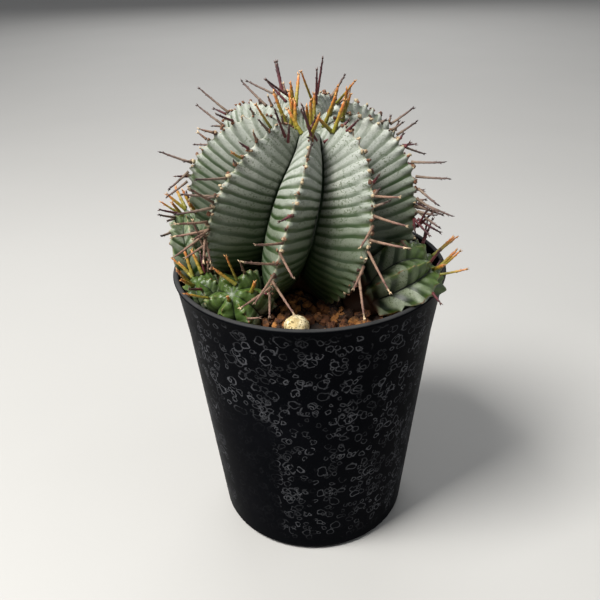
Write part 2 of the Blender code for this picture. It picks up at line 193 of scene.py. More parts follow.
class Recipe:
    """A material being written: its nodes come from one method."""

    def __init__(self, name: str) -> None:
        """Start a material with a plain Principled shader."""
        self.material = bpy.data.materials.new(name)
        self.material.use_nodes = True
        self.tree = self.material.node_tree
        self.shader = self.tree.nodes["Principled BSDF"]
        self.place = self.node("ShaderNodeTexCoord", output="Object")

    def node(
        self,
        kind: str,
        settings: Optional[dict] = None,
        inputs: Optional[dict] = None,
        output: Union[int, str] = 0,
    ) -> Signal:
        """Add any node but a Math node.

        Args:
            kind: The node's type.
            settings: Its settings, set first.
            inputs: Values or signals by the socket's name or number.
            output: The wanted output's name or number.

        Returns:
            That output.
        """
        made = self.tree.nodes.new(kind)
        for key, value in (settings or {}).items():
            if key == "stops":
                self._set_stops(made.color_ramp, value)
            else:
                setattr(made, key, value)
        for key, value in (inputs or {}).items():
            if isinstance(value, Signal):
                self.tree.links.new(value.socket, made.inputs[key])
            else:
                made.inputs[key].default_value = value
        return Signal(self.tree, made.outputs[output])

    @staticmethod
    def _set_stops(ramp: bpy.types.ColorRamp, stops: Sequence[tuple]) -> None:
        """Give a ramp its stops.

        Args:
            ramp: The colour ramp.
            stops: Rows of position and colour.
        """
        while len(ramp.elements) < len(stops):
            ramp.elements.new(1.0)
        for element, (position, colour) in zip(ramp.elements, stops):
            element.position = position
            element.color = (*colour, 1.0)

    def map(self, name: str) -> tuple[Signal, Signal, Signal]:
        """A UV map of the piece: the whole coordinate, then its first and second number."""
        whole = self.node("ShaderNodeUVMap", {"uv_map": name})
        return whole, *(self.node("ShaderNodeSeparateXYZ", None, {0: whole}, i) for i in (0, 1))

    def grain(self, scale: float, detail: float = 2.0, rough: float = 0.5,
              place: Optional[Signal] = None) -> Signal:
        """Noise from 0 to 1.

        Args:
            scale: Features per metre.
            detail: Octaves.
            rough: Strength of the finer octaves.
            place: The coordinates, where they aren't the object's.

        Returns:
            The noise.
        """
        inputs = {"Vector": place or self.place, "Scale": scale, "Detail": detail,
                  "Roughness": rough}
        return self.node("ShaderNodeTexNoise", None, inputs)

    def warp(self, place: Signal, scale: float, amount: float) -> Signal:
        """Coordinates pushed about by noise.

        Args:
            place: The coordinates.
            scale: Features per metre.
            amount: The furthest push.

        Returns:
            The new coordinates.
        """
        inputs = {"Vector": place, "Scale": scale, "Detail": 2.0}
        push = self.node("ShaderNodeTexNoise", None, inputs, "Color")
        centred = self.node(
            "ShaderNodeVectorMath", {"operation": "SUBTRACT"}, {0: push, 1: (0.5, 0.5, 0.5)})
        scaled = self.node(
            "ShaderNodeVectorMath", {"operation": "SCALE"}, {0: centred, "Scale": 2.0 * amount})
        return self.node("ShaderNodeVectorMath", {"operation": "ADD"}, {0: place, 1: scaled})

    def blend(
        self,
        share: Union[Signal, float],
        first: Union[Signal, Colour],
        second: Union[Signal, Colour],
    ) -> Signal:
        """A mix of two colours.

        Args:
            share: 0 for the first and 1 for the second.
            first: A colour.
            second: A colour.

        Returns:
            The mixed colour.
        """
        inputs = {0: share}
        for socket, colour in ((6, first), (7, second)):
            inputs[socket] = colour if isinstance(colour, Signal) else (*colour, 1.0)
        return self.node("ShaderNodeMix", {"data_type": "RGBA"}, inputs, 2)

    def level(self, value: Signal, stops: Sequence[tuple[float, float]]) -> Signal:
        """A value read off a graph given as rows of position and height."""
        rows = [(position, (height, height, height)) for position, height in stops]
        return self.node("ShaderNodeValToRGB", {"stops": rows}, {0: value})

    def finish(
        self,
        colour: Signal,
        roughness: Signal,
        relief: Signal,
        depth: float,
        strength: float = 1.0,
    ) -> bpy.types.Material:
        """Join the shader to its colour, roughness and relief.

        Args:
            colour: Base colour.
            roughness: Roughness.
            relief: Height from 0 to 1 for the bump.
            depth: Metres that a relief of 1 stands for.
            strength: Strength of the bump.

        Returns:
            The finished material.
        """
        self.tree.links.new(colour.socket, self.shader.inputs["Base Color"])
        self.tree.links.new(roughness.socket, self.shader.inputs["Roughness"])
        bump = self.node(
            "ShaderNodeBump", None, {"Strength": strength, "Distance": depth, "Height": relief})
        self.tree.links.new(bump.socket, self.shader.inputs["Normal"])
        return self.material


# --- Finishes --------------------------------------------------------------------------------


@dataclass(frozen=True)
class RibSkin:
    """Skin of a ribbed stem: green leaf tissue, banded powder with paler patches that are partly
    painted highlight, corky crests, dark furrows and painted shade low on the body.
    """

    name: str
    powder: Colour
    leaf: Colour
    deep: Colour
    old: Colour
    cork: Colour
    scar: Colour
    teeth: float
    slowing: float
    band_bend: float
    powder_levels: tuple[tuple[float, float], ...]
    gloss_roughness: float
    wood: Colour = tint(86, 58, 40)
    pale_powder_and_highlight: Colour = tint(186, 188, 178)
    cork_from: float = 0.955

    fine_scale = 1500.0
    edge_scale = 420.0
    cloud_scale = 60.0
    calm_zone = (0.2, 0.46)
    matt_roughness = 0.62

    def build(self) -> bpy.types.Material:
        """Write the material from the rib map: crest share and station."""
        recipe = Recipe(self.name)
        _, crest, station = recipe.map("rib_map")
        wander = recipe.grain(110.0) - 0.5
        flank = 1.0 - crest
        count = station * (self.teeth - station * self.slowing)
        phase = count + flank ** 1.3 * self.band_bend + wander * 0.55
        turn = phase.fraction()
        band = turn.step(0.0, 0.12) * (1.0 - turn.step(0.46, 0.86))
        speckle = recipe.grain(self.fine_scale, 3.0, 0.7)
        cloud = recipe.grain(self.cloud_scale, 3.0, 0.6)
        amount = recipe.level(station, self.powder_levels)
        settled = station.step(*self.calm_zone)
        calm = settled * 0.52 + 0.48
        veil = (band * calm + 1.0 - calm) * amount * crest.step(0.03, 0.08)
        veil = veil + (speckle - 0.5) * 1.8 * veil + (cloud - 0.5) * amount
        veil = veil * (1.0 - speckle.step(0.52, 0.6) * cloud.step(0.38, 0.55) * 0.8)
        veil = veil.higher(0.0).lower(1.0)
        leaf = recipe.blend(cloud, self.leaf, self.old)
        leaf = recipe.blend(station.step(0.72, 0.98), leaf, self.old)
        shade = (1.0 - band) * crest.step(0.97, 0.7) * (settled * 0.4 + 0.3)
        # Painted shade: the station term darkens the lower body towards the deep green; the shade
        # term is the darker stripes between the powder bands.
        leaf = recipe.blend(shade + station.step(0.48, 0.75) * 0.35, leaf, self.deep)
        colour = recipe.blend(crest.step(0.16, 0.05) * 0.6, leaf, self.deep)
        # Paler patches on the powder: partly paler powder, partly painted highlight.
        pale_and_highlight_patches = recipe.grain(75.0, 3.0, 0.65).step(0.48, 0.7)
        powder_and_highlight = recipe.blend(pale_and_highlight_patches * 0.75, self.powder, self.pale_powder_and_highlight)
        colour = recipe.blend(veil, colour, powder_and_highlight)
        line = crest + (speckle - 0.5) * 0.08
        colour = recipe.blend(line.step(0.07, 0.03), colour, self.deep)
        edge_noise = recipe.grain(self.edge_scale, 3.0, 0.6)
        edge = (crest + (edge_noise - 0.5) * 0.12).step(self.cork_from, self.cork_from + 0.06)
        edge = edge * station.step(0.05, 0.14)
        colour = recipe.blend(edge * (edge_noise * 0.8 + 0.05), colour, self.cork)
        tooth = abs(count.fraction() - 0.5)
        scar = tooth.step(0.3, 0.1) * edge * edge_noise.step(0.42, 0.55)
        colour = recipe.blend(scar, colour, self.scar)
        wood = (station + (cloud - 0.5) * 0.2).step(0.84, 0.93)
        colour = recipe.blend(wood, colour, self.wood)
        gloss = (1.0 - veil) * (self.matt_roughness - self.gloss_roughness)
        rough = self.matt_roughness + veil * 0.2 - gloss
        relief = speckle * 0.45 + veil * 0.3 + edge * edge_noise * 0.6
        return recipe.finish(colour, rough, relief, 0.25 * MM, 0.6)


@dataclass(frozen=True)
class CorkScar:
    """Corky scar on a crest, from cream to dark brown, each of its own tone."""

    name: str = "cork_scars"
    cream: Colour = tint(168, 152, 122)
    brown: Colour = tint(104, 66, 44)
    dark: Colour = tint(52, 30, 22)

    def build(self) -> bpy.types.Material:
        """Write the material from the tone map: one tone for each scar."""
        recipe = Recipe(self.name)
        _, tone, _ = recipe.map("tone_map")
        fine = recipe.grain(1700.0, 3.0, 0.7)
        mixed = tone + (fine - 0.5) * 0.9
        colour = recipe.blend(mixed.step(0.15, 0.42), self.cream, self.brown)
        colour = recipe.blend(mixed.step(0.7, 0.9), colour, self.dark)
        return recipe.finish(colour, 0.75 + fine * 0.2, fine, 0.3 * MM, 0.8)


@dataclass(frozen=True)
class PotPlastic:
    """Near-black satin plastic with the pale rings of dried water drops, and a painted highlight
    along the top of the lip.
    """

    name: str = "pot_satin_black"
    base: Colour = tint(7, 8, 11)
    worn: Colour = tint(13, 14, 18)
    ring: Colour = tint(94, 95, 99)
    shine: float = 0.006
    bare_from: float = -37.0 * MM
    bare_to: float = -13.0 * MM

    ring_layers = (
        (2.5 * MM, 0.12, 0.36), (4.0 * MM, 0.085, 0.55), (5.4 * MM, 0.065, 0.5),
    )

    @staticmethod
    def _rings(recipe: Recipe, wall: Signal, cell: float, line: float, share: float) -> Signal:
        """One layer of closed rings.

        Args:
            recipe: The material.
            wall: Coordinates on the wall in metres.
            cell: Room of one ring in metres.
            line: Width of a ring's line, as a share of its room.
            share: How many of the rooms hold a ring.

        Returns:
            The layer's strength.
        """
        moved = recipe.warp(wall, 1.1 / cell, 0.42 * cell)
        settings = {"voronoi_dimensions": "2D", "feature": "F1"}
        inputs = {"Vector": moved, "Scale": 1.0 / cell, "Randomness": 0.8}
        away = recipe.node("ShaderNodeTexVoronoi", settings, inputs, "Distance")
        chance = recipe.node("ShaderNodeTexVoronoi", settings, inputs, "Color")
        parts = [recipe.node("ShaderNodeSeparateColor", None, {0: chance}, i) for i in range(3)]
        radius = parts[0] * 0.2 + 0.2
        ring = abs(away - radius).step(line, 0.0)
        kept = parts[1].step(1.0 - share, 1.0 - share + 0.05)
        broken = recipe.grain(3.0 / cell, 2.0, 0.6, wall).step(0.32, 0.46)
        return ring * kept * broken * (parts[2] * 0.6 + 0.4)

    def build(self) -> bpy.types.Material:
        """Write the material from the wall map: distance round the wall and height."""
        recipe = Recipe(self.name)
        wall, around, height = recipe.map("wall_map")
        small, middle, large = (self._rings(recipe, wall, *row) for row in self.ring_layers)
        dots = recipe.grain(2600.0, 2.0, 0.6, wall).step(0.66, 0.74)
        crowd = recipe.grain(90.0, place=wall).step(0.36, 0.58)
        rings = small.higher(middle).higher(large) * (crowd * 0.65 + 0.35) + dots * 0.4 * crowd
        outer = height.step(0.004, 0.012) * height.step(0.0975, 0.094)
        ragged = around + (recipe.grain(130.0, place=wall) - 0.5) * 0.006
        bare = ragged.step(self.bare_from - 0.001, self.bare_from + 0.001)
        bare = bare * ragged.step(self.bare_to + 0.001, self.bare_to - 0.001)
        bare = bare * height.step(0.066, 0.058)
        stain = (rings * outer * (1.0 - bare * 0.93)).lower(1.0)
        haze = recipe.grain(35.0, 3.0, 0.6)
        colour = recipe.blend(haze.step(0.45, 0.8) * 0.5, self.base, self.worn)
        colour = recipe.blend(stain * 0.8, colour, self.ring)
        # Painted highlight: a thin grey line along the top of the lip.
        lip = height.step(0.0984, 0.0988)
        colour = recipe.blend(lip * 0.4, colour, tint(84, 84, 84))
        rough = 0.4 + stain * 0.35 + (haze - 0.5) * 0.14
        fine = recipe.grain(2200.0)
        recipe.shader.inputs["Specular IOR Level"].default_value = self.shine
        return recipe.finish(colour, rough, stain * 0.6 + fine * 0.12, 0.08 * MM, 0.5)


@dataclass(frozen=True)
class BakedClay:
    """Soil grains of baked clay, each of its own tone."""

    name: str = "baked_clay_grains"
    pale: Colour = tint(148, 98, 46)
    warm: Colour = tint(80, 44, 18)
    dark: Colour = tint(26, 14, 6)

    def build(self) -> bpy.types.Material:
        """Write the material from the tone map: one tone for each grain."""
        recipe = Recipe(self.name)
        _, tone, _ = recipe.map("tone_map")
        pores = recipe.grain(1300.0, 3.0, 0.7)
        patch = recipe.grain(420.0)
        colour = recipe.blend(tone.step(0.0, 0.55), self.dark, self.warm)
        colour = recipe.blend(tone.step(0.5, 1.0), colour, self.pale)
        colour = recipe.blend(patch.step(0.48, 0.66) * 0.75, colour, self.dark)
        colour = recipe.blend(pores.step(0.56, 0.68) * 0.5, colour, self.pale)
        rough = 0.86 + pores * 0.12
        return recipe.finish(colour, rough, pores * 0.7 + patch * 0.3, 0.3 * MM, 0.8)


@dataclass(frozen=True)
class DarkSoilAndGapShade:
    """The soil's dark body, seen only between the grains; its dark colour is partly the soil's own
    tone and partly painted shade in the gaps.
    """

    name: str = "dark_soil_body"
    dark: Colour = tint(26, 16, 10)
    warm: Colour = tint(60, 38, 22)

    def build(self) -> bpy.types.Material:
        """Write the material."""
        recipe = Recipe(self.name)
        lumps = recipe.grain(300.0, 4.0, 0.6)
        fine = recipe.grain(1400.0, 3.0, 0.6)
        colour = recipe.blend(lumps.step(0.42, 0.75), self.dark, self.warm)
        return recipe.finish(colour, 0.9 + fine * 0.08, lumps * 0.7 + fine * 0.3, 0.8 * MM, 0.8)


@dataclass(frozen=True)
class ChalkyPellet:
    """The pale fertiliser pellet, mottled with beige and olive."""

    name: str = "chalky_pellet"
    pale: Colour = tint(226, 212, 172)
    beige: Colour = tint(190, 168, 118)
    olive: Colour = tint(98, 84, 44)

    def build(self) -> bpy.types.Material:
        """Write the material."""
        recipe = Recipe(self.name)
        blotch = recipe.grain(480.0, 3.0, 0.6)
        pits = recipe.grain(1500.0, 3.0, 0.7)
        colour = recipe.blend(blotch.step(0.35, 0.6), self.beige, self.pale)
        colour = recipe.blend(pits.step(0.52, 0.62), colour, self.olive)
        return recipe.finish(
            colour, 0.8 + pits * 0.15, blotch * 0.5 + (1.0 - pits) * 0.5, 0.4 * MM, 0.8)


@dataclass(frozen=True)
class StalkBark:
    """Dry or young stalk: a colour down its length, bracts, and a tone of its own."""

    name: str
    stops: tuple[tuple[float, Colour], ...]
    shade: Colour
    roughness: float = 0.75

    def build(self) -> bpy.types.Material:
        """Write the material from the length map: share of the length and the stalk's tone."""
        recipe = Recipe(self.name)
        _, share, tone = recipe.map("length_map")
        streak = recipe.grain(1600.0, 3.0, 0.65)
        patch = recipe.grain(420.0)
        moved = share + (patch - 0.5) * 0.16 + (tone - 0.5) * 0.12
        colour = recipe.node("ShaderNodeValToRGB", {"stops": self.stops}, {0: moved})
        colour = recipe.blend(streak.step(0.46, 0.68) * 0.55, colour, self.shade)
        colour = recipe.blend((1.0 - tone) * 0.3, colour, self.shade)
        rough = self.roughness + (streak - 0.5) * 0.2
        return recipe.finish(colour, rough, streak * 0.6 + patch * 0.4, 0.2 * MM, 0.7)


@dataclass(frozen=True)
class PaleFloor:
    """Plain pale studio floor."""

    name: str = "pale_floor"
    pale: Colour = tint(170, 169, 166)
    grey: Colour = tint(164, 163, 160)

    def build(self) -> bpy.types.Material:
        """Write the material."""
        recipe = Recipe(self.name)
        cloud = recipe.grain(6.0, 3.0)
        fine = recipe.grain(400.0)
        colour = recipe.blend(cloud, self.pale, self.grey)
        return recipe.finish(colour, 0.7 + fine * 0.1, fine, 0.05 * MM, 0.3)


GREY_POWDER = RibSkin(
    name="powdered_rib_skin", powder=tint(153, 157, 149), leaf=tint(50, 68, 34),
    deep=tint(20, 42, 12), old=tint(62, 74, 40), cork=tint(178, 172, 146),
    scar=tint(104, 66, 46), teeth=24.0, slowing=-4.0, band_bend=-1.3,
    powder_levels=((0.0, 0.35), (0.1, 0.9), (0.28, 1.0), (0.38, 0.78), (0.48, 0.42), (0.58, 0.24),
                   (0.7, 0.05)),
    gloss_roughness=0.42,
)
GREEN_GLOSS = RibSkin(
    name="green_offset_skin", powder=tint(140, 148, 124), leaf=tint(40, 66, 16),
    deep=tint(10, 26, 4), old=tint(72, 92, 28), cork=tint(132, 118, 70),
    scar=tint(110, 58, 36), teeth=10.0, slowing=3.0, band_bend=-0.8,
    powder_levels=((0.0, 0.0), (0.25, 0.04), (0.45, 0.2), (0.55, 0.6), (0.85, 0.6)),
    gloss_roughness=0.42, cork_from=0.94,
)
GREY_OFFSET = RibSkin(
    name="grey_offset_skin", powder=tint(132, 140, 118), leaf=tint(48, 72, 28),
    deep=tint(16, 38, 8), old=tint(72, 92, 46), cork=tint(166, 156, 120),
    scar=tint(106, 62, 40), teeth=11.0, slowing=3.0, band_bend=-0.8,
    powder_levels=((0.0, 0.1), (0.3, 0.5), (0.6, 0.55), (0.9, 0.2)),
    gloss_roughness=0.34, cork_from=0.93,
)


class StalkKind(Enum):
    """The four looks of a flower stalk, named as in the record's slots."""

    WOODY = "woody"
    TAN = "tan"
    MAROON = "maroon"
    YOUNG = "young"

    @property
    def slot(self) -> str:
        """The record's slot."""
        return f"stalk_{self.value}"

    def bark(self) -> StalkBark:
        """The bark of this kind."""
        barks = {
            StalkKind.WOODY: StalkBark("woody_stalk_bark", (
                (0.0, tint(80, 58, 42)), (0.25, tint(130, 104, 84)), (0.7, tint(124, 94, 80)),
                (0.93, tint(92, 64, 56)), (1.0, tint(196, 172, 138))), tint(76, 54, 46)),
            StalkKind.TAN: StalkBark("tan_stalk_bark", (
                (0.0, tint(96, 78, 58)), (0.25, tint(124, 106, 90)), (0.7, tint(100, 80, 72)),
                (1.0, tint(52, 36, 36))), tint(70, 54, 48)),
            StalkKind.MAROON: StalkBark("maroon_stalk_bark", (
                (0.0, tint(100, 40, 42)), (0.4, tint(92, 36, 42)), (0.8, tint(58, 26, 32)),
                (1.0, tint(92, 66, 58))), tint(44, 20, 24), 0.6),
            StalkKind.YOUNG: StalkBark("young_stalk_bark", (
                (0.0, tint(96, 106, 26)), (0.35, tint(136, 126, 34)), (0.65, tint(164, 126, 38)),
                (0.88, tint(190, 104, 44)), (1.0, tint(206, 150, 92))), tint(104, 76, 24), 0.55),
        }
        return barks[self]


# --- Mesh helpers ----------------------------------------------------------------------------


def write_map(
    faces: Iterable[bmesh.types.BMFace],
    layer: bmesh.types.BMLayerItem,
    reading: Callable[[bmesh.types.BMVert], Sequence[float]],
) -> None:
    """Write a UV map from a reading at each vertex.

    Args:
        faces: The faces to write on.
        layer: The map.
        reading: Gives a vertex's two numbers.
    """
    for face in faces:
        for loop in face.loops:
            loop[layer].uv = reading(loop.vert)


def linked(name: str, data: bpy.types.ID) -> bpy.types.Object:
    """A new object in the scene."""
    made = bpy.data.objects.new(name, data)
    bpy.context.scene.collection.objects.link(made)
    return made


def plain_object(bm: bmesh.types.BMesh, name: str) -> bpy.types.Object:
    """An object with no finish, such as one for cutting.

    Args:
        bm: Its mesh, which is freed.
        name: Its name.

    Returns:
        The object, linked to the scene.
    """
    mesh = bpy.data.meshes.new(name)
    bm.to_mesh(mesh)
    bm.free()
    return linked(name, mesh)


def finished(bm: bmesh.types.BMesh, name: str, material: bpy.types.Material) -> bpy.types.Object:
    """Turn a bmesh into a smooth object at the origin that rides with the body.

    Args:
        bm: The mesh being made, which is freed.
        name: The piece's name.
        material: Its material.

    Returns:
        The new object.
    """
    made = plain_object(bm, name)
    made.data.shade_smooth()
    made.data.materials.append(material)
    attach(made, BODY)
    LOG.info("%s: %d faces", name, len(made.data.polygons))
    return made


class Heap:
    """Many small meshes gathered into one, each made on its own so that it stays quick."""

    def __init__(self, map_name: str) -> None:
        """Start an empty heap.

        Args:
            map_name: Name of the UV map that every piece carries.
        """
        self.map_name = map_name
        self.whole = bmesh.new()
        self.whole.loops.layers.uv.new(map_name)
        self.carrier = bpy.data.meshes.new("carrier")

    def start(self) -> bmesh.types.BMesh:
        """An empty small mesh with the heap's UV map."""
        small = bmesh.new()
        small.loops.layers.uv.new(self.map_name)
        return small

    def add(self, small: bmesh.types.BMesh) -> None:
        """Move a small mesh into the heap.

        Args:
            small: The mesh, which is freed.
        """
        bmesh.ops.recalc_face_normals(small, faces=small.faces)
        small.to_mesh(self.carrier)
        small.free()
        self.whole.from_mesh(self.carrier)

    def add_ball(
        self,
        size: float,
        sides: tuple[int, int],
        tone: float,
        shape: Callable[[Vector], Vector],
    ) -> None:
        """Add one uneven ball of a single tone.

        Args:
            size: Its radius.
            sides: Its segments round and up.
            tone: Its tone, for the map.
            shape: Moves a point of the even ball to its place.
        """
        ball = self.start()
        bmesh.ops.create_uvsphere(ball, u_segments=sides[0], v_segments=sides[1], radius=size)
        for vert in ball.verts:
            vert.co = shape(vert.co)
        write_map(ball.faces, ball.loops.layers.uv[self.map_name], lambda _: (tone, 0.0))
        self.add(ball)

    def close(self) -> bmesh.types.BMesh:
        """The gathered mesh."""
        bpy.data.meshes.remove(self.carrier)
        return self.whole


def carve(target: bpy.types.Object, cutters: Sequence[bpy.types.Object]) -> None:
    """Cut shapes out of a piece for good, and clear the modifiers that did it.

    Args:
        target: The piece.
        cutters: What is cut out of it.
    """
    for cutter in cutters:
        modifier = target.modifiers.new("carve", "BOOLEAN")
        modifier.operation = "DIFFERENCE"
        modifier.solver = "EXACT"
        modifier.object = cutter
    bpy.context.view_layer.update()
    graph = bpy.context.evaluated_depsgraph_get()
    cut = bpy.data.meshes.new_from_object(target.evaluated_get(graph))
    target.modifiers.clear()
    old = target.data
    target.data = cut
    cut.name = old.name
    bpy.data.meshes.remove(old)


def remove(objects: Sequence[bpy.types.Object]) -> None:
    """Remove objects and their meshes.

    Args:
        objects: What is removed.
    """
    for old in objects:
        mesh = old.data
        bpy.data.objects.remove(old)
        bpy.data.meshes.remove(mesh)


def node_tree(names: Sequence[str]) -> BVHTree:
    """A search tree over the surfaces of CAD nodes.

    Args:
        names: The nodes.

    Returns:
        The tree.
    """
    verts: list[Vector] = []
    faces: list[tuple[int, ...]] = []
    for name in names:
        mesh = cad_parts[name].data
        start = len(verts)
        verts += [vert.co.copy() for vert in mesh.vertices]
        faces += [tuple(start + index for index in face.vertices) for face in mesh.polygons]
    return BVHTree.FromPolygons(verts, faces)


# --- Ribbed stems ----------------------------------------------------------------------------


@dataclass(frozen=True)
class RibbedStem:
    """One ribbed stem, upright on its neck before it is leaned and placed."""

    name: str
    ribs: int
    radius: float
    above: float
    below: float
    neck: float
    root: float
    dip: float
    furrow: float
    first_rib: float
    twist: float
    tooth: float
    wave: float
    lump: float
    azimuth: float
    reach: float
    lean: float
    lean_azimuth: float
    rise: float = 0.0
    rings: int = 90
    facets: int = 24
    skin: RibSkin = GREEN_GLOSS
    slot: str = "offset_green_skin"

    equator = 0.6
    shoulder_power = 0.85
    underside_power = 0.9
    flank_power = 0.8
    crest_round = 0.035
    crown_fade = 0.2
    neck_fade = 0.85
    furrow_drop = 0.6
    lump_scale = 90.0

    def section(self, station: Numbers) -> tuple[Numbers, Numbers]:
        """Radius and height of a rib's crest.

        Args:
            station: Shares of the way from crown to neck.

        Returns:
            The radii and the heights.
        """
        upper = 0.5 * np.pi * np.minimum(station, self.equator) / self.equator
        lower = 0.5 * np.pi * np.maximum(station - self.equator, 0.0) / (1.0 - self.equator)
        wide = self.radius * np.sin(upper) ** self.shoulder_power
        rise = self.above * np.maximum(np.cos(upper), 0.0) ** self.shoulder_power
        hollow = self.dip * np.exp(-((wide / (0.26 * self.radius)) ** 2))
        swell = np.maximum(np.cos(lower), 0.0) ** self.underside_power
        narrow = self.neck + (self.radius - self.neck) * swell
        is_upper = station < self.equator
        height = np.where(is_upper, self.below + rise - hollow, self.below * (1.0 - np.sin(lower)))
        return np.where(is_upper, wide, narrow), height

    def rib_azimuth(self, rib: float, station: Union[Numbers, float]) -> Union[Numbers, float]:
        """Azimuth of a rib at a station, with the stem's twist."""
        twist = self.twist * (1.0 - station / self.equator)
        return self.first_rib + 360.0 * rib / self.ribs + twist

    def tooth_count(self, station: Union[Numbers, float]) -> Union[Numbers, float]:
        """Teeth passed on the way from the crown, closer together near it."""
        return station * (self.skin.teeth - station * self.skin.slowing)

    def tooth_shift(self, rib: int, station: float) -> float:
        """How far a rib's teeth are out of step there, as a share of a tooth."""
        return 0.45 * noise.noise(Vector((rib * 3.7, station * 9.0, 1.0)))

    def tooth_station(self, rib: int, tooth: int) -> float:
        """Station of a tooth's tip.

        Args:
            rib: The rib.
            tooth: The tooth, counted from the crown.

        Returns:
            The station.
        """
        teeth, slowing = self.skin.teeth, self.skin.slowing
        station = 0.0
        wanted = tooth + 0.5
        for _ in range(3):
            room = teeth * teeth - 4.0 * slowing * wanted
            station = (teeth - math.sqrt(max(0.0, room))) / (2.0 * slowing)
            wanted = tooth + 0.5 - self.tooth_shift(rib, station)
        return station

    def crest_share(self, azimuth: Numbers, station: Numbers) -> Numbers:
        """1 on a crest and 0 in a furrow."""
        across = (azimuth - self.rib_azimuth(0, station)) * self.ribs / 360.0
        return np.abs(2.0 * (across % 1.0) - 1.0)

    def points(self, azimuth: Numbers, station: Numbers, detail: bool) -> Numbers:
        """Points of the ribbed surface in the stem's own frame.

        Args:
            azimuth: Azimuths of the points.
            station: Shares of the way from crown to neck.
            detail: Whether the surface has its teeth and waves.

        Returns:
            Rows of X, Y and Z.
        """
        full, height = self.section(station)
        crest = self.crest_share(azimuth, station)
        fade = smooth_step(0.0, self.crown_fade, station)
        fade = fade * (1.0 - smooth_step(self.neck_fade, 1.0, station))
        shaped = crest
        if detail:
            shaped = 1.0 - (np.hypot(1.0 - crest, self.crest_round) - self.crest_round)
        sunk = self.furrow * fade * (1.0 - np.maximum(shaped, 0.0) ** self.flank_power)
        radius = full * (1.0 - sunk)
        level = height - (height - self.below) * sunk * self.furrow_drop
        if detail:
            tall = np.where(height > self.below, self.above, self.below)
            out_level = full / self.radius ** 2
            out_up = (height - self.below) / tall ** 2
            size = np.hypot(out_level, out_up) + 1e-9
            lift = self._relief(azimuth, station, crest, radius) * fade
            radius = radius + lift * out_level / size
            level = level + lift * out_up / size
        turn = np.radians(azimuth)
        return np.stack([radius * np.sin(turn), -radius * np.cos(turn), level], axis=-1)

    def _relief(
        self, azimuth: Numbers, station: Numbers, crest: Numbers, radius: Numbers
    ) -> Numbers:
        """How far teeth, waves and unevenness lift the skin.

        Args:
            azimuth: Azimuths of the points.
            station: Shares of the way from crown to neck.
            crest: Crest shares there.
            radius: Distances from the axis.

        Returns:
            The lifts in metres.
        """
        ribs = np.rint((azimuth - self.rib_azimuth(0, station)) * self.ribs / 360.0) % self.ribs
        places = zip(ribs.ravel(), station.ravel())
        shift = np.array([self.tooth_shift(rib, spot) for rib, spot in places])
        shift = shift.reshape(np.shape(station))
        count = self.tooth_count(station)
        tip = np.abs((count + shift) % 1.0 - 0.5) * 2.0
        tooth = (0.5 + 0.5 * np.cos(np.pi * tip)) ** 1.5 - 0.35
        lift = self.tooth * tooth * smooth_step(0.66, 1.0, crest) ** 1.4
        phase = count + (1.0 - crest) ** 1.3 * self.skin.band_bend
        band = np.sin(2.0 * np.pi * (phase + 0.1))
        lift = lift + self.wave * band * smooth_step(0.05, 0.35, crest) * (1.0 - 0.5 * crest)
        turn = np.radians(azimuth)
        wide = self.lump_scale * radius
        rows = zip(
            (wide * np.sin(turn)).ravel(), (wide * np.cos(turn)).ravel(),
            (station * 7.0 + self.ribs).ravel())
        lumps = np.array([noise.noise(Vector(row)) for row in rows])
        return lift + self.lump * lumps.reshape(np.shape(station))

    def point(self, azimuth: float, station: float) -> Vector:
        """One point of the detailed surface, in place; its azimuth is in the stem's own frame."""
        found = self.points(np.array([azimuth]), np.array([station]), True)[0]
        return self.matrix() @ Vector(found)

    def matrix(self) -> Matrix:
        """Where the stem stands, leaned, on the soil."""
        axis = Vector((0.0, 0.0, 1.0)).cross(front_direction(self.lean_azimuth))
        spot = self.reach * front_direction(self.azimuth)
        lift = lip_level() - SOIL_BELOW_RIM + self.rise
        place = Matrix.Translation(spot + Vector((0.0, 0.0, lift)))
        return place @ Matrix.Rotation(math.radians(self.lean), 4, axis)

    def body(self, detail: bool, grown: float = 0.0) -> bmesh.types.BMesh:
        """The stem's closed body, in place.

        Args:
            detail: Whether it has its teeth and waves.
            grown: How far the skin is moved outwards, for a cutter.

        Returns:
            The mesh, with its rib map.
        """
        bm = bmesh.new()
        around = self.ribs * self.facets
        bmesh.ops.create_grid(bm, x_segments=around, y_segments=self.rings, size=0.5)
        neck_ring = self.rings - max(3, self.rings // 8)
        sheet = np.array([vert.co[:2] for vert in bm.verts]) + 0.5
        ring = np.rint(self.rings * sheet[:, 1])
        azimuth = 360.0 * sheet[:, 0]
        station = np.minimum(1.0, ring / neck_ring)
        azimuth = azimuth + self.rib_azimuth(0, station)
        places = self.points(azimuth, station, detail)
        share = (ring - neck_ring) / (self.rings - neck_ring - 1)
        width = np.where(ring == self.rings, 0.0, self.neck * (1.0 - 0.12 * share))
        turn = np.radians(azimuth)
        depth = self.root * np.minimum(1.0, share)
        roots = np.stack([width * np.sin(turn), -width * np.cos(turn), -depth], axis=-1)
        buried = ring > neck_ring
        places[buried] = roots[buried]
        crest = np.where(buried, 0.5, self.crest_share(azimuth, station))
        reading = np.stack([crest, station], axis=-1).tolist()
        rib_map = bm.loops.layers.uv.new("rib_map")
        write_map(bm.faces, rib_map, lambda vert: reading[vert.index])
        for vert, place in zip(bm.verts, places.tolist()):
            vert.co = place
        bmesh.ops.remove_doubles(bm, verts=bm.verts, dist=0.0005 * MM)
        bmesh.ops.recalc_face_normals(bm, faces=bm.faces)
        if grown:
            bm.normal_update()
            moves = [(vert, vert.co + grown * vert.normal) for vert in bm.verts]
            for vert, spot in moves:
                vert.co = spot
        bmesh.ops.transform(bm, matrix=self.matrix(), verts=bm.verts)
        return bm

    def coarse(self) -> "RibbedStem":
        """The same stem with few rings and facets, for cutting."""
        return replace(self, rings=36, facets=6)

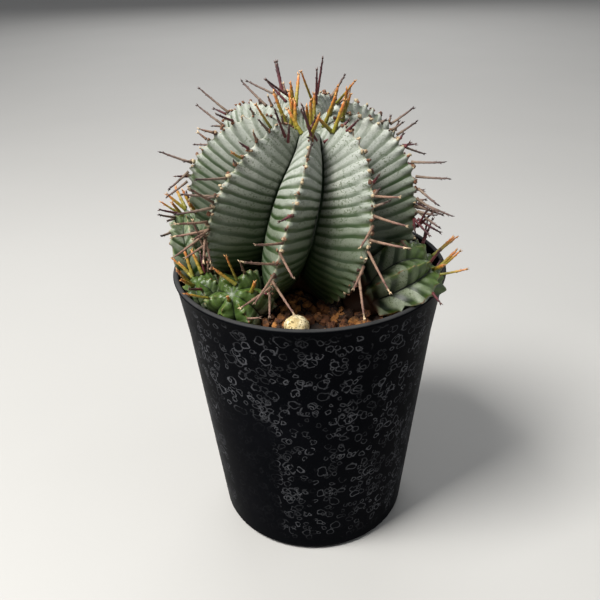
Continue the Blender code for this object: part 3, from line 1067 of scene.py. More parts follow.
    def build(self, cutters: Sequence[bpy.types.Object]) -> bpy.types.Object:
        """Make, cut and dress the stem.

        Args:
            cutters: What presses into it.

        Returns:
            The piece.
        """
        made = finished(self.body(detail=True), f"{self.name}_skin", self.skin.build())
        if cutters:
            carve(made, cutters)
        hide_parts(self.name)
        self.slot
        return made


MAIN_STEM = RibbedStem(
    name="main_stem", ribs=9, radius=36.0 * MM, above=34.0 * MM, below=24.0 * MM,
    neck=9.0 * MM, root=12.0 * MM, dip=9.0 * MM, furrow=0.48, first_rib=-13.0, twist=22.0,
    tooth=1.4 * MM, wave=0.09 * MM, lump=0.55 * MM, azimuth=-90.0, reach=2.6 * MM, rise=3.5 * MM,
    lean=8.0, lean_azimuth=20.0, rings=224, facets=40, skin=GREY_POWDER, slot="stem_skin",
)
OFFSETS = (
    RibbedStem(
        name="offset_right", ribs=7, radius=12.8 * MM, above=10.5 * MM, below=12.0 * MM,
        neck=6.0 * MM, root=8.0 * MM, dip=3.0 * MM, furrow=0.36, first_rib=10.0, twist=8.0,
        tooth=1.2 * MM, wave=0.2 * MM, lump=0.3 * MM, azimuth=43.0, reach=28.5 * MM, rise=3.0 * MM,
        lean=55.0, lean_azimuth=86.0,
    ),
    RibbedStem(
        name="offset_front_left", ribs=6, radius=10.8 * MM, above=8.0 * MM, below=7.0 * MM,
        neck=5.0 * MM, root=6.0 * MM, dip=1.5 * MM, furrow=0.4, first_rib=20.0, twist=8.0,
        tooth=1.1 * MM, wave=0.15 * MM, lump=0.3 * MM, azimuth=-42.0, reach=29.5 * MM,
        lean=40.0, lean_azimuth=-25.0,
    ),
    RibbedStem(
        name="offset_left", ribs=6, radius=7.0 * MM, above=6.0 * MM, below=5.0 * MM,
        neck=4.0 * MM, root=6.0 * MM, dip=1.0 * MM, furrow=0.3, first_rib=20.0, twist=6.0,
        tooth=0.8 * MM, wave=0.12 * MM, lump=0.2 * MM, azimuth=-62.0, reach=36.0 * MM,
        lean=24.0, lean_azimuth=-62.0, rings=60, facets=20,
    ),
    RibbedStem(
        name="offset_back_left", ribs=6, radius=9.0 * MM, above=14.0 * MM, below=12.0 * MM,
        neck=5.0 * MM, root=7.0 * MM, dip=1.5 * MM, furrow=0.34, first_rib=5.0, twist=6.0,
        tooth=1.1 * MM, wave=0.2 * MM, lump=0.3 * MM, azimuth=-92.0, reach=34.5 * MM,
        lean=12.0, lean_azimuth=-92.0, skin=GREY_OFFSET, slot="offset_grey_skin",
    ),
)


@dataclass(frozen=True)
class CrestScars:
    """Small corky lumps left in pairs on a stem's teeth by fallen stalks."""

    stem: RibbedStem
    size: tuple[float, float] = (0.28 * MM, 0.66 * MM)
    lowest: float = 0.74
    missing: float = 0.16
    spread: tuple[float, float] = (0.4, 1.5)
    scatter: float = 0.006
    seed: int = 31

    @staticmethod
    def _add_lump(heap: Heap, spot: Vector, size: float, rng: random.Random) -> None:
        """Add one uneven lump.

        Args:
            heap: The heap of lumps.
            spot: The lump's middle.
            size: Its radius.
            rng: The seeded source of chance.
        """
        stretch = Vector((rng.uniform(0.7, 1.3), rng.uniform(0.7, 1.3), rng.uniform(0.6, 1.1)))

        def shape(place: Vector) -> Vector:
            """Stretch and roughen the lump, and put it in place."""
            lump = 1.0 + 0.8 * noise.noise(place / size * 1.3 + spot * 900.0)
            return spot + place * lump * stretch

        heap.add_ball(size, (7, 5), rng.random(), shape)

    def build(self) -> bpy.types.Object:
        """Put the lumps on the teeth.

        Returns:
            The piece of all lumps.
        """
        rng = random.Random(self.seed)
        heap = Heap("tone_map")
        for rib in range(self.stem.ribs):
            for tooth in range(1, int(self.stem.skin.teeth)):
                station = self.stem.tooth_station(rib, tooth)
                if station > self.lowest:
                    break
                for side in (-1.0, 0.2, 1.0):
                    if rng.random() < self.missing:
                        continue
                    azimuth = self.stem.rib_azimuth(rib, station)
                    azimuth += side * rng.uniform(*self.spread)
                    moved = station + rng.uniform(-self.scatter, self.scatter)
                    spot = self.stem.point(azimuth, moved)
                    self._add_lump(heap, spot, rng.uniform(*self.size), rng)
        made = finished(heap.close(), f"{self.stem.name}_scars", CorkScar().build())
        self.stem.slot
        return made


@dataclass(frozen=True)
class StemGroup:
    """The main stem and the offsets that press against it and against the pot."""

    main: RibbedStem
    offsets: tuple[RibbedStem, ...]
    clearance: float = 0.45 * MM
    rim_room: float = 180.0 * MM
    rim_steps: int = 96

    def rim_cutter(self, pot: "Pot") -> bpy.types.Object:
        """All that lies outside the pot's inner wall and below its lip.

        Args:
            pot: The pot that the stems stand in.

        Returns:
            The cutter.
        """
        top = pot.height + self.clearance
        profile = [
            (self.rim_room, top),
            (self.rim_room, -pot.floor),
            (pot.inner_radius(0.0) - self.clearance, -pot.floor),
            (pot.inner_radius(pot.height) - self.clearance, top),
        ]
        return plain_object(turned([*profile, profile[0]], self.rim_steps), "rim_cutter")

    def build(self, pot: "Pot") -> None:
        """Make the main stem, then each offset cut by what stands before it.

        Args:
            pot: The pot that they stand in.
        """
        self.main.build([])
        CrestScars(self.main).build()
        rim = self.rim_cutter(pot)
        earlier = [plain_object(self.main.coarse().body(False, self.clearance), "main_cutter")]
        for offset in self.offsets:
            offset.build([*earlier, rim])
            grown = offset.coarse().body(False, self.clearance)
            earlier.append(plain_object(grown, f"{offset.name}_cutter"))
        remove([*earlier, rim])


# --- Pot -------------------------------------------------------------------------------------


def turned(profile: Sequence[tuple[float, float]], steps: int) -> bmesh.types.BMesh:
    """A turned body from its profile.

    Args:
        profile: Rows of radius and height, in order; the last may repeat the first.
        steps: Steps of the full turn.

    Returns:
        The closed mesh.
    """
    bm = bmesh.new()
    verts = [bm.verts.new((radius, 0.0, height)) for radius, height in profile]
    edges = [bm.edges.new(pair) for pair in zip(verts, verts[1:])]
    bmesh.ops.spin(
        bm, geom=[*verts, *edges], cent=(0.0, 0.0, 0.0), axis=(0.0, 0.0, 1.0),
        angle=2.0 * math.pi, steps=steps, use_merge=True)
    bmesh.ops.remove_doubles(bm, verts=bm.verts, dist=0.01 * MM)
    bmesh.ops.recalc_face_normals(bm, faces=bm.faces)
    return bm


@dataclass(frozen=True)
class Pot:
    """The tapered plastic pot with its rounded lip, flared top and drain holes."""

    finish: PotPlastic
    rim_radius: float = 45.0 * MM
    foot_radius: float = 34.0 * MM
    height: float = 99.0 * MM
    wall: float = 1.4 * MM
    floor: float = 1.8 * MM
    foot_round: float = 2.4 * MM
    lip_height: float = 1.6 * MM
    lip_proud: float = 0.4 * MM
    flare_below_rim: float = 21.0 * MM
    flare_inset: float = 0.7 * MM
    flare_soft: float = 1.2 * MM
    sharp_from: float = 50.0
    steps: int = 160
    drain_count: int = 6
    drain_radius: float = 3.0 * MM
    drain_circle: float = 20.0 * MM
    drain_turn: float = 10.0

    def outer_radius(self, height: float) -> float:
        """Radius of the outer wall at a height, lip left out.

        Args:
            height: Height above the foot.

        Returns:
            The radius.
        """
        flare_height = self.height - self.flare_below_rim
        taper = (self.rim_radius - self.foot_radius) / self.height
        flare_radius = self.foot_radius + taper * flare_height - self.flare_inset
        if height >= flare_height:
            share = (height - flare_height) / self.flare_below_rim
            return flare_radius + (self.rim_radius - flare_radius) * share
        return self.foot_radius + (flare_radius - self.foot_radius) * height / flare_height

    def inner_radius(self, height: float) -> float:
        """Radius of the inner wall at a height."""
        return self.outer_radius(height) - self.wall

    @staticmethod
    def _arc(centre: tuple[float, float], size: tuple[float, float], start: float,
             end: float, count: int) -> list[tuple[float, float]]:
        """Points along part of an ellipse.

        Args:
            centre: Radius and height of its middle.
            size: Its two half sizes.
            start: First angle in degrees, 0 pointing outwards and 90 upwards.
            end: Last angle in degrees.
            count: How many points.

        Returns:
            Rows of radius and height.
        """
        turns = [math.radians(start + (end - start) * i / (count - 1)) for i in range(count)]
        return [
            (centre[0] + size[0] * math.cos(turn), centre[1] + size[1] * math.sin(turn))
            for turn in turns
        ]

    def profile(self) -> list[tuple[float, float]]:
        """The closed section: floor, inner wall, lip, outer wall and foot."""
        inner_foot = self.floor + self.foot_round
        lip_radius = self.rim_radius + self.lip_proud
        half_lip = 0.5 * self.lip_height
        middle = 0.5 * (self.inner_radius(self.height) + lip_radius)
        bead = 0.5 * (lip_radius - self.inner_radius(self.height))
        points = [(0.0, self.floor), (self.drain_circle, self.floor)]
        points.append((self.inner_radius(self.floor) - self.foot_round, self.floor))
        points.append((self.inner_radius(inner_foot), inner_foot))
        inner_steps = [0.25, 0.5, 0.788, 0.9]
        points += [(self.inner_radius(s * self.height), s * self.height) for s in inner_steps]
        points += self._arc((middle, self.height - half_lip), (bead, half_lip), 180.0, -20.0, 12)
        under = self.height - self.lip_height - 0.5 * MM
        points.append((self.outer_radius(under) + 0.05 * MM, under))
        flare_height = self.height - self.flare_below_rim
        outer_steps = [flare_height + 10.0 * MM, flare_height + self.flare_soft, flare_height]
        outer_steps += [flare_height - self.flare_soft, 0.5 * flare_height, 10.0 * MM]
        points += [(self.outer_radius(height), height) for height in outer_steps]
        foot = self.outer_radius(self.foot_round) - self.foot_round
        size = (self.foot_round, self.foot_round)
        points += self._arc((foot, self.foot_round), size, 0.0, -90.0, 7)
        points += [(self.drain_circle, 0.0), (0.0, 0.0)]
        return points

    def _write_wall_map(self, mesh: bpy.types.Mesh) -> None:
        """Give the mesh its wall map: metres round the wall and height.

        Args:
            mesh: The pot's mesh.
        """
        layer = mesh.uv_layers.new(name="wall_map")
        mean = 0.5 * (self.rim_radius + self.foot_radius)
        for face in mesh.polygons:
            middle = math.atan2(face.center.x, -face.center.y)
            for index in face.loop_indices:
                spot = mesh.vertices[mesh.loops[index].vertex_index].co
                turn = math.atan2(spot.x, -spot.y) - middle
                turn = (turn + math.pi) % (2.0 * math.pi) - math.pi
                layer.data[index].uv = ((middle + turn) * mean, spot.z)

    def build(self) -> bpy.types.Object:
        """Turn, drill and dress the pot.

        Returns:
            The piece.
        """
        made = finished(turned(self.profile(), self.steps), "pot_shell", self.finish.build())
        drills = []
        for index in range(self.drain_count):
            bm = bmesh.new()
            bmesh.ops.create_cone(
                bm, cap_ends=True, segments=32, radius1=self.drain_radius,
                radius2=self.drain_radius, depth=4.0 * self.floor)
            azimuth = self.drain_turn + 360.0 * index / self.drain_count
            spot = self.drain_circle * front_direction(azimuth)
            bmesh.ops.translate(bm, vec=spot, verts=bm.verts)
            drills.append(plain_object(bm, f"drain_{index + 1}"))
        carve(made, drills)
        remove(drills)
        self._write_wall_map(made.data)
        made.data.shade_smooth()
        made.data.set_sharp_from_angle(angle=math.radians(self.sharp_from))
        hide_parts("pot")
        return made


# --- Stalks ----------------------------------------------------------------------------------


@dataclass(frozen=True)
class StalkShape:
    """How any stalk is shaped: its taper, joints, bracts and forked tip."""

    sides: int = 7
    rings: int = 22
    base_swell: float = 0.14
    taper: tuple[float, float, float, float] = (1.0, 0.8, 0.7, 0.45)
    joints: tuple[float, ...] = (0.24, 0.42, 0.58, 0.74, 0.88)
    joint_swell: float = 0.2
    bract_length: float = 0.85 * MM
    bract_width: float = 0.26 * MM

    def width(self, share: float, seed: float) -> float:
        """Width at a share of the length, next to the base's radius.

        Args:
            share: Share of the length.
            seed: The stalk's own number, which moves its joints.

        Returns:
            The width as a share of the base's radius.
        """
        spot = share * (len(self.taper) - 1)
        index = min(len(self.taper) - 2, int(spot))
        part = spot - index
        width = self.taper[index] * (1.0 - part) + self.taper[index + 1] * part
        width += self.base_swell * math.exp(-share / 0.05)
        for joint in self.joints:
            away = share - joint - 0.03 * math.sin(seed * 7.0 + joint * 40.0)
            width += self.joint_swell * math.exp(-((away / 0.022) ** 2))
        return width * (1.0 - 0.55 * float(smooth_step(0.97, 1.0, share)))


@dataclass(frozen=True)
class Stalk:
    """One stalk along its points, thick end first."""

    points: tuple[Vector, ...]
    radius: float
    tone: float

    node_rings = 4
    axis_rounds = 8
    slimmed = 0.86

    def at(self, share: float) -> Vector:
        """The middle of the stalk at a share of its length.

        Args:
            share: Share of the length.

        Returns:
            The point.
        """
        spot = share * (len(self.points) - 1)
        index = min(len(self.points) - 2, max(0, int(spot)))
        return self.points[index].lerp(self.points[index + 1], spot - index)

    def length(self) -> float:
        """Distance from base to tip."""
        return (self.points[-1] - self.points[0]).length

    def _axes(self, share: float) -> tuple[Vector, Vector, Vector]:
        """Directions along and across the stalk.

        Args:
            share: Share of the length.

        Returns:
            Along, and two directions across.
        """
        along = (self.at(min(1.0, share + 0.05)) - self.at(max(0.0, share - 0.05))).normalized()
        helper = Vector((0.0, 0.0, 1.0)) if abs(along.z) < 0.9 else Vector((1.0, 0.0, 0.0))
        first = along.cross(helper).normalized()
        return along, first, along.cross(first)

    def add_to(self, heap: Heap, shape: StalkShape) -> None:
        """Add the stalk to a heap.

        Args:
            heap: The heap.
            shape: How it is shaped.
        """
        bm = heap.start()
        length_map = bm.loops.layers.uv["length_map"]
        last = shape.rings + 1
        bmesh.ops.create_grid(bm, x_segments=last, y_segments=shape.sides, size=0.5)
        shares = {}
        for vert in bm.verts:
            ring = round((vert.co.x + 0.5) * last)
            share = min(1.0, max(0.0, (ring - 1) / (shape.rings - 1)))
            turn = 2.0 * math.pi * (vert.co.y + 0.5)
            shares[vert] = share
            _, first, second = self._axes(share)
            size = self.radius * shape.width(share, self.tone)
            size = 0.0 if ring in (0, last) else size
            vert.co = self.at(share) + size * (math.cos(turn) * first + math.sin(turn) * second)
        write_map(bm.faces, length_map, lambda vert: (shares[vert], self.tone))
        bmesh.ops.remove_doubles(bm, verts=bm.verts, dist=0.002 * MM)
        self._add_bracts(bm, shape)
        heap.add(bm)

    def _add_bracts(self, bm: bmesh.types.BMesh, shape: StalkShape) -> None:
        """Add small scales at the joints and a forked tip.

        Args:
            bm: The mesh.
            shape: How the stalk is shaped.
        """
        length_map = bm.loops.layers.uv["length_map"]
        rows = [(joint, 0.75, 1.0) for joint in shape.joints]
        rows += [(0.985, 0.35, 1.3), (0.99, -0.4, 1.1)]
        for number, (share, spread, size) in enumerate(rows):
            along, first, second = self._axes(share)
            turn = self.tone * 17.0 + number * 2.4
            across = math.cos(turn) * first + math.sin(turn) * second
            heading = (along + abs(spread) * across).normalized()
            made = bmesh.ops.create_cone(
                bm, cap_ends=True, segments=3, radius1=shape.bract_width * size,
                radius2=0.0, depth=shape.bract_length * size)
            root = self.at(share) + 0.35 * self.radius * across
            root += 0.4 * shape.bract_length * size * heading
            turned_to = Vector((0.0, 0.0, 1.0)).rotation_difference(heading).to_matrix().to_4x4()
            bmesh.ops.transform(
                bm, matrix=Matrix.Translation(root) @ turned_to, verts=made["verts"])
            faces = {face for vert in made["verts"] for face in vert.link_faces}
            place = (min(1.0, share + 0.04), self.tone)
            write_map(faces, length_map, lambda _, place=place: place)

    @classmethod
    def from_node(cls, name: str, tone: float) -> "Stalk":
        """Read a stalk's line off its CAD node.

        Args:
            name: The node.
            tone: The stalk's own tone.

        Returns:
            The stalk, thick end first.
        """
        places = [vert.co.copy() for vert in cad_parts[name].data.vertices]
        middle = sum(places, Vector()) / len(places)
        axis = max(places, key=lambda spot: (spot - middle).length) - middle
        for _ in range(cls.axis_rounds):
            axis = sum(((spot - middle) * (spot - middle).dot(axis) for spot in places), Vector())
            axis.normalize()
        reads = sorted(((spot - middle).dot(axis), spot) for spot in places)
        low, high = reads[0][0], reads[-1][0]
        rings = []
        for index in range(cls.node_rings):
            level = low + (high - low) * index / (cls.node_rings - 1)
            near = [spot for read, spot in reads if abs(read - level) < 0.12 * (high - low)]
            centre = sum(near, Vector()) / len(near)
            size = max((spot - centre - (spot - centre).dot(axis) * axis).length for spot in near)
            rings.append((centre, size))
        if rings[0][1] < rings[-1][1]:
            rings.reverse()
        return cls(tuple(centre for centre, _ in rings), cls.slimmed * rings[0][1], tone)


@dataclass(frozen=True)
class Sprig:
    """A stalk that has no CAD node: where it stands on a stem and where it points."""

    station: float
    azimuth: float
    length: float
    heading: float
    climb: float
    kind: StalkKind

    def stalk(self, stem: RibbedStem, radius: float, tone: float) -> Stalk:
        """The stalk itself, with a slight bend.

        Args:
            stem: The stem it stands on.
            radius: Radius of its base.
            tone: Its own tone.

        Returns:
            The stalk.
        """
        base = stem.point(self.azimuth, self.station)
        climb = math.radians(self.climb)
        along = math.cos(climb) * front_direction(self.heading)
        along = along + Vector((0.0, 0.0, math.sin(climb)))
        points = []
        for index in range(4):
            share = index / 3.0
            sag = 0.05 * self.length * (share * share - share)
            points.append(base + share * self.length * along + Vector((0.0, 0.0, sag)))
        return Stalk(tuple(points), radius, tone)


YOUNG = StalkKind.YOUNG
MAROON = StalkKind.MAROON
TAN = StalkKind.TAN
WOODY = StalkKind.WOODY

def sprigs(*rows: tuple[float, float, float, float, float, StalkKind]) -> tuple[Sprig, ...]:
    """Sprigs from rows of station, azimuth, millimetres, heading, climb and kind."""
    return tuple(Sprig(*row[:2], row[2] * MM, *row[3:]) for row in rows)


SPRIGS: dict[str, tuple[Sprig, ...]] = {
    "main_stem": sprigs(
        (0.09, -162, 10, 168, 55, YOUNG), (0.09, 162, 11, 6, 75, MAROON),
        (0.24, 159, 9, 150, 25, TAN), (0.1, 78, 11, 12, 65, YOUNG), (0.04, 81, 11, 48, 65, YOUNG),
        (0.13, 36, 10, 66, 70, YOUNG), (0.15, -27, 10, -30, 60, MAROON),
        (0.16, -24, 8, 6, 50, MAROON), (0.17, 9, 11, -48, 60, MAROON),
        (0.14, 27, 8, 72, 35, MAROON), (0.12, -114, 11, -126, 35, TAN),
        (0.11, -150, 9, -108, 45, MAROON), (0.2, -159, 10, -156, 60, MAROON),
        (0.04, -135, 9, -150, 75, YOUNG), (0.06, -27, 8, 174, 80, YOUNG),
        (0.09, -9, 8, -108, 60, YOUNG), (0.06, -153, 9, -24, 75, YOUNG),
        (0.04, 150, 8, 174, 80, YOUNG), (0.16, 3, 8, 30, 55, YOUNG), (0.12, 36, 7, -54, 45, YOUNG),
        (0.02, 165, 8, -6, 60, YOUNG), (0.16, 42, 6, 36, 40, MAROON),
        (0.04, -60, 9, 20, 80, YOUNG), (0.05, -100, 10, -70, 70, YOUNG),
        (0.07, 120, 9, 60, 72, YOUNG), (0.03, 20, 10, 0, 82, YOUNG), (0.55, 68.8, 9, 36, -15, TAN),
        (0.57, 68.1, 9, 24, -15, MAROON), (0.59, 67.4, 8, 30, 60, MAROON),
        (0.59, 67.4, 8, 48, 50, MAROON), (0.55, 68.8, 8, 30, 10, TAN),
        (0.57, 68.1, 7, -6, -10, MAROON), (0.51, 70.3, 9, 48, -20, TAN),
        (0.53, 69.6, 9, 72, -15, TAN), (0.61, 106.7, 9, 70, -25, MAROON),
        (0.64, 105.6, 8, 88, -15, TAN), (0.49, 311, 11, -66, 0, TAN),
        (0.57, 308.1, 11, -78, -5, WOODY), (0.63, 305.9, 11, -36, 70, WOODY),
        (0.45, 312.5, 9, -78, 10, TAN), (0.57, 308.1, 8, -30, 0, WOODY),
        (0.59, 307.4, 9, 0, -30, WOODY), (0.59, 307.4, 8, 18, -45, WOODY),
        (0.61, 306.6, 8, -66, -25, WOODY),
    ),
    "offset_right": sprigs(
        (0.19, 221.2, 9, 162, 30, MAROON), (0.19, 221.2, 8, 132, 60, MAROON),
        (0.13, 324.8, 7, 30, 55, MAROON), (0.13, 170.6, 9, 120, 30, YOUNG),
        (0.11, 119.4, 8, 108, 40, YOUNG), (0.05, 17.3, 7, 24, 35, YOUNG),
        (0.47, 166, 5, 162, 50, YOUNG), (0.39, 12.8, 5, 18, -10, MAROON),
        (0.09, 119.7, 5, 156, 5, MAROON), (0.41, 269.7, 4, 24, -15, WOODY),
    ),
    "offset_front_left": sprigs(
        (0.09, 146.8, 8, -96, 40, YOUNG), (0.21, 85.2, 6, 24, 55, YOUNG),
        (0.39, 82.8, 4, 24, 20, MAROON), (0.35, 23.3, 4, 78, 10, WOODY),
        (0.27, 144.4, 6, -18, 60, WOODY), (0.05, 327.3, 4, 0, 45, YOUNG),
    ),
    "offset_left": sprigs(
        (0.21, 203.9, 9, -144, 65, YOUNG), (0.19, 204.1, 8, -138, 20, YOUNG),
        (0.09, 265.1, 8, -42, 55, YOUNG), (0.17, 144.3, 8, -132, 60, YOUNG),
        (0.23, 143.7, 7, -132, 80, MAROON), (0.07, 325.3, 7, -30, 40, YOUNG),
        (0.31, 142.9, 6, 120, 80, WOODY), (0.25, 23.5, 6, -30, 25, MAROON),
    ),
    "offset_back_left": sprigs(
        (0.11, 189.9, 8, -90, 45, YOUNG), (0.13, 189.7, 8, -144, 45, YOUNG),
        (0.09, 130.1, 7, -114, 65, YOUNG), (0.05, 310.5, 7, -36, 55, YOUNG),
        (0.09, 250.1, 8, -48, 25, MAROON), (0.15, 309.5, 8, -30, 25, TAN),
        (0.17, 309.3, 6, -12, 15, TAN), (0.35, 307.5, 7, -12, 15, TAN),
        (0.11, 129.9, 6, -126, 65, MAROON), (0.19, 69.1, 7, -30, 50, YOUNG),
    ),
}


@dataclass(frozen=True)
class StalkSet:
    """Every stalk: those that stand for CAD nodes, the sprigs and the crest stubs."""

    shape: StalkShape
    young_radius: float = 0.66 * MM
    dry_radius: float = 0.45 * MM
    stub_teeth: tuple[int, int] = (2, 14)
    stub_chance: float = 0.42
    stub_lengths: tuple[float, ...] = (1.6, 2.2, 3.0, 4.2)
    plain_below: float = 5.0 * MM
    seed: int = 26

    @staticmethod
    def _kind_of(node: str) -> StalkKind:
        """The kind of a CAD stalk, from the slot that the record gives its node.

        Args:
            node: The node's name.

        Returns:
            Its kind.
        """
        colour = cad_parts[node].data.materials[0]
        wanted = colour.name.lower() if colour is not None else ""
        for kind in StalkKind:
            if kind.value in wanted:
                return kind
        return StalkKind.TAN

    def _crest_sprigs(self, rng: random.Random) -> list[Sprig]:
        """Short broken stubs along the main stem's crests.

        Args:
            rng: The seeded source of chance.

        Returns:
            The stubs.
        """
        rows = []
        stem = MAIN_STEM
        for rib in range(stem.ribs):
            for tooth in range(*self.stub_teeth):
                if rng.random() > self.stub_chance:
                    continue
                station = stem.tooth_station(rib, tooth)
                azimuth = stem.rib_azimuth(rib, station)
                climb = 72.0 * (1.0 - station / stem.equator) + rng.uniform(-25.0, 25.0)
                heading = azimuth + rng.uniform(-50.0, 50.0)
                length = rng.choice(self.stub_lengths) * MM
                kind = rng.choice((MAROON, TAN, TAN, WOODY))
                rows.append(Sprig(station, azimuth, length, heading, climb, kind))
        return rows

    def build(self) -> None:
        """Make one piece for each stem's stalks of each kind."""
        rng = random.Random(self.seed)
        groups: dict[tuple[str, StalkKind], list[tuple[Optional[str], Stalk]]] = {}
        nodes = sorted(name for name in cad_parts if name.startswith("stalk_"))
        for node in nodes:
            stem = node[len("stalk_"):node.index("_rib")]
            entry = (node, Stalk.from_node(node, rng.random()))
            groups.setdefault((stem, self._kind_of(node)), []).append(entry)
        extra = [(MAIN_STEM, sprig) for sprig in self._crest_sprigs(rng)]
        for stem in (MAIN_STEM, *OFFSETS):
            extra += [(stem, sprig) for sprig in SPRIGS[stem.name]]
        for stem, sprig in extra:
            width = self.young_radius if sprig.kind is YOUNG else self.dry_radius
            entry = (None, sprig.stalk(stem, width, rng.random()))
            groups.setdefault((stem.name, sprig.kind), []).append(entry)
        barks = {kind: kind.bark().build() for kind in StalkKind}
        for (stem, kind), entries in sorted(groups.items(), key=lambda item: item[0][0]):
            heap = Heap("length_map")
            for _, stalk in entries:
                stub = stalk.length() < self.plain_below
                shape = replace(self.shape, rings=8, joints=(0.5,)) if stub else self.shape
                stalk.add_to(heap, shape)
            made = finished(heap.close(), f"{stem}_{kind.value}_stalks", barks[kind])
            replaced = [node for node, _ in entries if node]
            if replaced:
                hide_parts(*replaced)
            kind.slot


# --- Soil ------------------------------------------------------------------------------------


@dataclass(frozen=True)
class SoilBed:
    """Loose baked clay grains over the soil's body."""

    pot: Pot
    below_rim: float = SOIL_BELOW_RIM
    mound: float = 3.5 * MM
    spacing: float = 2.9 * MM
    grain_radius: tuple[float, float] = (1.25 * MM, 2.1 * MM)
    wall_room: float = 0.4 * MM
    scatter: float = 0.3
    layer_shift: float = 0.4
    layer_sizes: tuple[float, float] = (1.0, 0.75)
    layer_lifts: tuple[float, float] = (0.15, 1.25)
    upper_chance: float = 0.45
    touch: float = 0.9
    seed: int = 11

    def height(self, radius: float) -> float:
        """Height of the soil's surface at a radius."""
        wall = self.pot.inner_radius(self.pot.height - self.below_rim)
        rise = self.mound * (1.0 - smooth_step(0.3 * wall, 0.85 * wall, radius))
        return self.pot.height - self.below_rim + rise

    @staticmethod
    def _add_grain(heap: Heap, spot: Vector, size: float, rng: random.Random) -> None:
        """Add one rounded, uneven grain.

        Args:
            heap: The heap of grains.
            spot: The grain's middle.
            size: Its radius.
            rng: The seeded source of chance.
        """
        tone = rng.random()
        shift = Vector((rng.uniform(0, 50), rng.uniform(0, 50), rng.uniform(0, 50)))
        stretch = Vector((rng.uniform(0.8, 1.2), rng.uniform(0.8, 1.2), rng.uniform(0.7, 1.0)))
        turn = Matrix.Rotation(rng.uniform(0.0, 6.28), 3, (rng.random(), rng.random(), 1.0))

        def shape(place: Vector) -> Vector:
            """Stretch, roughen and turn the grain, and put it in place."""
            lump = 1.0 + 0.6 * noise.noise(place / size * 1.4 + shift)
            return spot + turn @ (place * lump * stretch)

        heap.add_ball(size, (8, 6), tone, shape)

    def build(self) -> bpy.types.Object:
        """Scatter the grains clear of the stems, the pellet and the pot.

        Returns:
            The piece of all grains.
        """
        rng = random.Random(self.seed)
        stems = node_tree([MAIN_STEM.name, *[offset.name for offset in OFFSETS]])
        pellet = node_tree(["fertiliser_pellet"])
        limit = self.pot.inner_radius(self.pot.height - self.below_rim) - self.wall_room
        heap = Heap("tone_map")
        count = 0
        rows = int(2.0 * limit / self.spacing) + 1
        for layer in range(2):
            for row in range(rows):
                for column in range(rows):
                    shift = self.layer_shift * layer
                    x = -limit + (column + 0.5 * (row % 2) + shift) * self.spacing
                    y = -limit + (row + shift) * self.spacing
                    x += rng.uniform(-self.scatter, self.scatter) * self.spacing
                    y += rng.uniform(-self.scatter, self.scatter) * self.spacing
                    size = rng.uniform(*self.grain_radius) * self.layer_sizes[layer]
                    away = math.hypot(x, y)
                    if away > limit - size or (layer and rng.random() > self.upper_chance):
                        continue
                    lift = size * self.layer_lifts[layer]
                    spot = Vector((x, y, self.height(away) + lift))
                    if self._blocked(stems, spot, size) or self._blocked(pellet, spot, size):
                        continue
                    self._add_grain(heap, spot, size, rng)
                    count += 1
        LOG.info("soil grains: %d", count)
        made = finished(heap.close(), "soil_grains", BakedClay().build())
        for face in made.data.polygons:
            face.use_smooth = False
        return made

    def _blocked(self, tree: BVHTree, spot: Vector, size: float) -> bool:
        """Whether a grain would touch or lie inside a surface.

        Args:
            tree: The surface.
            spot: The grain's middle.
            size: Its radius.

        Returns:
            True where it has no room.
        """
        near, normal, _, away = tree.find_nearest(spot)
        if near is None:
            return False
        return away < self.touch * size or (spot - near).dot(normal) < 0.0

    def dress_body(self) -> None:
        """Give the soil's CAD body its dark material."""
        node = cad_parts["soil"]
        node.data.materials.clear()
        node.data.materials.append(DarkSoilAndGapShade().build())


@dataclass(frozen=True)
class Pellet:
    """The pale round pellet by the front rim."""

    node: str = "fertiliser_pellet"
    lump: float = 0.16 * MM
    pit: float = 0.12 * MM

    def build(self) -> bpy.types.Object:
        """Shape the pellet inside its CAD box.

        Returns:
            The piece.
        """
        low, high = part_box(self.node)
        half = 0.5 * (high - low)
        middle = 0.5 * (low + high)
        bm = bmesh.new()
        bmesh.ops.create_icosphere(bm, subdivisions=5, radius=1.0)
        for vert in bm.verts:
            way = vert.co.copy()
            rise = self.lump * noise.noise(way * 2.3) - self.lump
            rise -= self.pit * max(0.0, noise.noise(way * 7.0) - 0.15)
            vert.co = middle + Vector([way[i] * (half[i] + rise) for i in range(3)])
        made = finished(bm, "pellet_body", ChalkyPellet().build())
        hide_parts(self.node)
        return made


# --- Studio ----------------------------------------------------------------------------------


@dataclass(frozen=True)
class SoftLamp:
    """One square soft light that points at the plant."""

    name: str
    place: tuple[float, float, float]
    size: float
    power: float
    colour: Colour = (1.0, 1.0, 1.0)

    def build(self, target: Vector) -> None:
        """Hang the lamp.

        Args:
            target: What it points at.
        """
        light = bpy.data.lights.new(self.name, "AREA")
        light.shape = "SQUARE"
        light.size = self.size
        light.energy = self.power
        light.color = self.colour
        made = linked(self.name, light)
        made.location = self.place
        way = Vector(self.place) - target
        made.rotation_euler = way.to_track_quat("Z", "Y").to_euler()


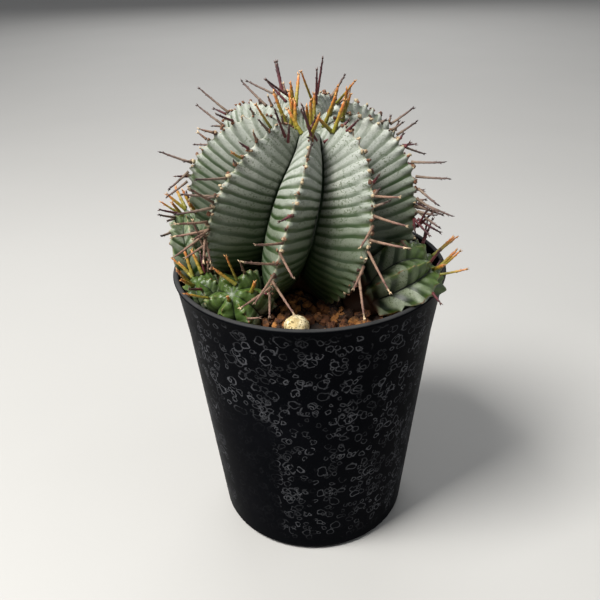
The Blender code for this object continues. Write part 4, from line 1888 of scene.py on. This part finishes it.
@dataclass(frozen=True)
class Studio:
    """Pale floor, soft lamps, even surroundings and the camera."""

    floor_size: float = 8.0
    lens: float = 42.0
    sensor: float = 36.0
    eye: tuple[float, float, float] = (-0.003416, -0.2130, 0.20061)
    right: tuple[float, float, float] = (0.99961, -0.01339, -0.0245)
    up: tuple[float, float, float] = (0.02792, 0.4792, 0.8773)
    surround: float = 0.22

    lamps = (
        SoftLamp("key_lamp", (-0.4, -0.24, 0.8), 0.34, 16.5, (1.0, 0.985, 0.96)),
        SoftLamp("side_lamp", (0.6, -0.1, 0.5), 0.6, 1.2, (0.96, 0.98, 1.0)),
        SoftLamp("back_lamp", (0.0, 1.3, 0.9), 1.2, 10.0, (1.0, 1.0, 1.0)),
    )

    def _lay_floor(self) -> None:
        """The floor, a thin plain sheet under the pot."""
        bm = bmesh.new()
        bmesh.ops.create_grid(bm, x_segments=2, y_segments=2, size=0.5 * self.floor_size)
        floor = plain_object(bm, "studio_floor")
        floor.data.materials.append(PaleFloor().build())
        floor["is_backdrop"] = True

    def _set_surround(self) -> None:
        """Even pale light from all round."""
        world = bpy.data.worlds.new("pale_surround")
        world.use_nodes = True
        background = world.node_tree.nodes["Background"]
        background.inputs["Color"].default_value = (0.93, 0.95, 1.0, 1.0)
        background.inputs["Strength"].default_value = self.surround
        bpy.context.scene.world = world

    def _place_camera(self) -> None:
        """The camera, at the viewing angle."""
        data = bpy.data.cameras.new("camera")
        data.lens = self.lens
        data.sensor_width = self.sensor
        data.sensor_fit = "HORIZONTAL"
        data.clip_start = 0.01
        data.dof.use_dof = False
        camera = linked("camera", data)
        right = Vector(self.right).normalized()
        back = right.cross(Vector(self.up)).normalized()
        turn = Matrix((right, back.cross(right), back)).transposed()
        camera.matrix_world = Matrix.Translation(self.eye) @ turn.to_4x4()
        bpy.context.scene.camera = camera

    def build(self) -> None:
        """Set the whole studio."""
        low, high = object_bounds()
        self._lay_floor()
        self._set_surround()
        for lamp in self.lamps:
            lamp.build(0.5 * (low + high))
        self._place_camera()
        bpy.context.scene.view_settings.view_transform = "Standard"


def main() -> None:
    """Build every piece in order."""
    logging.basicConfig(level=logging.INFO, format="%(relativeCreated)d ms %(message)s")
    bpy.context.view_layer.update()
    Studio().build()
    pot = Pot(PotPlastic())
    pot.build()
    StemGroup(MAIN_STEM, OFFSETS).build(pot)
    StalkSet(StalkShape()).build()
    bed = SoilBed(pot)
    bed.dress_body()
    bed.build()
    Pellet().build()
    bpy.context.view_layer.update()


if __name__ == "__main__":
    main()
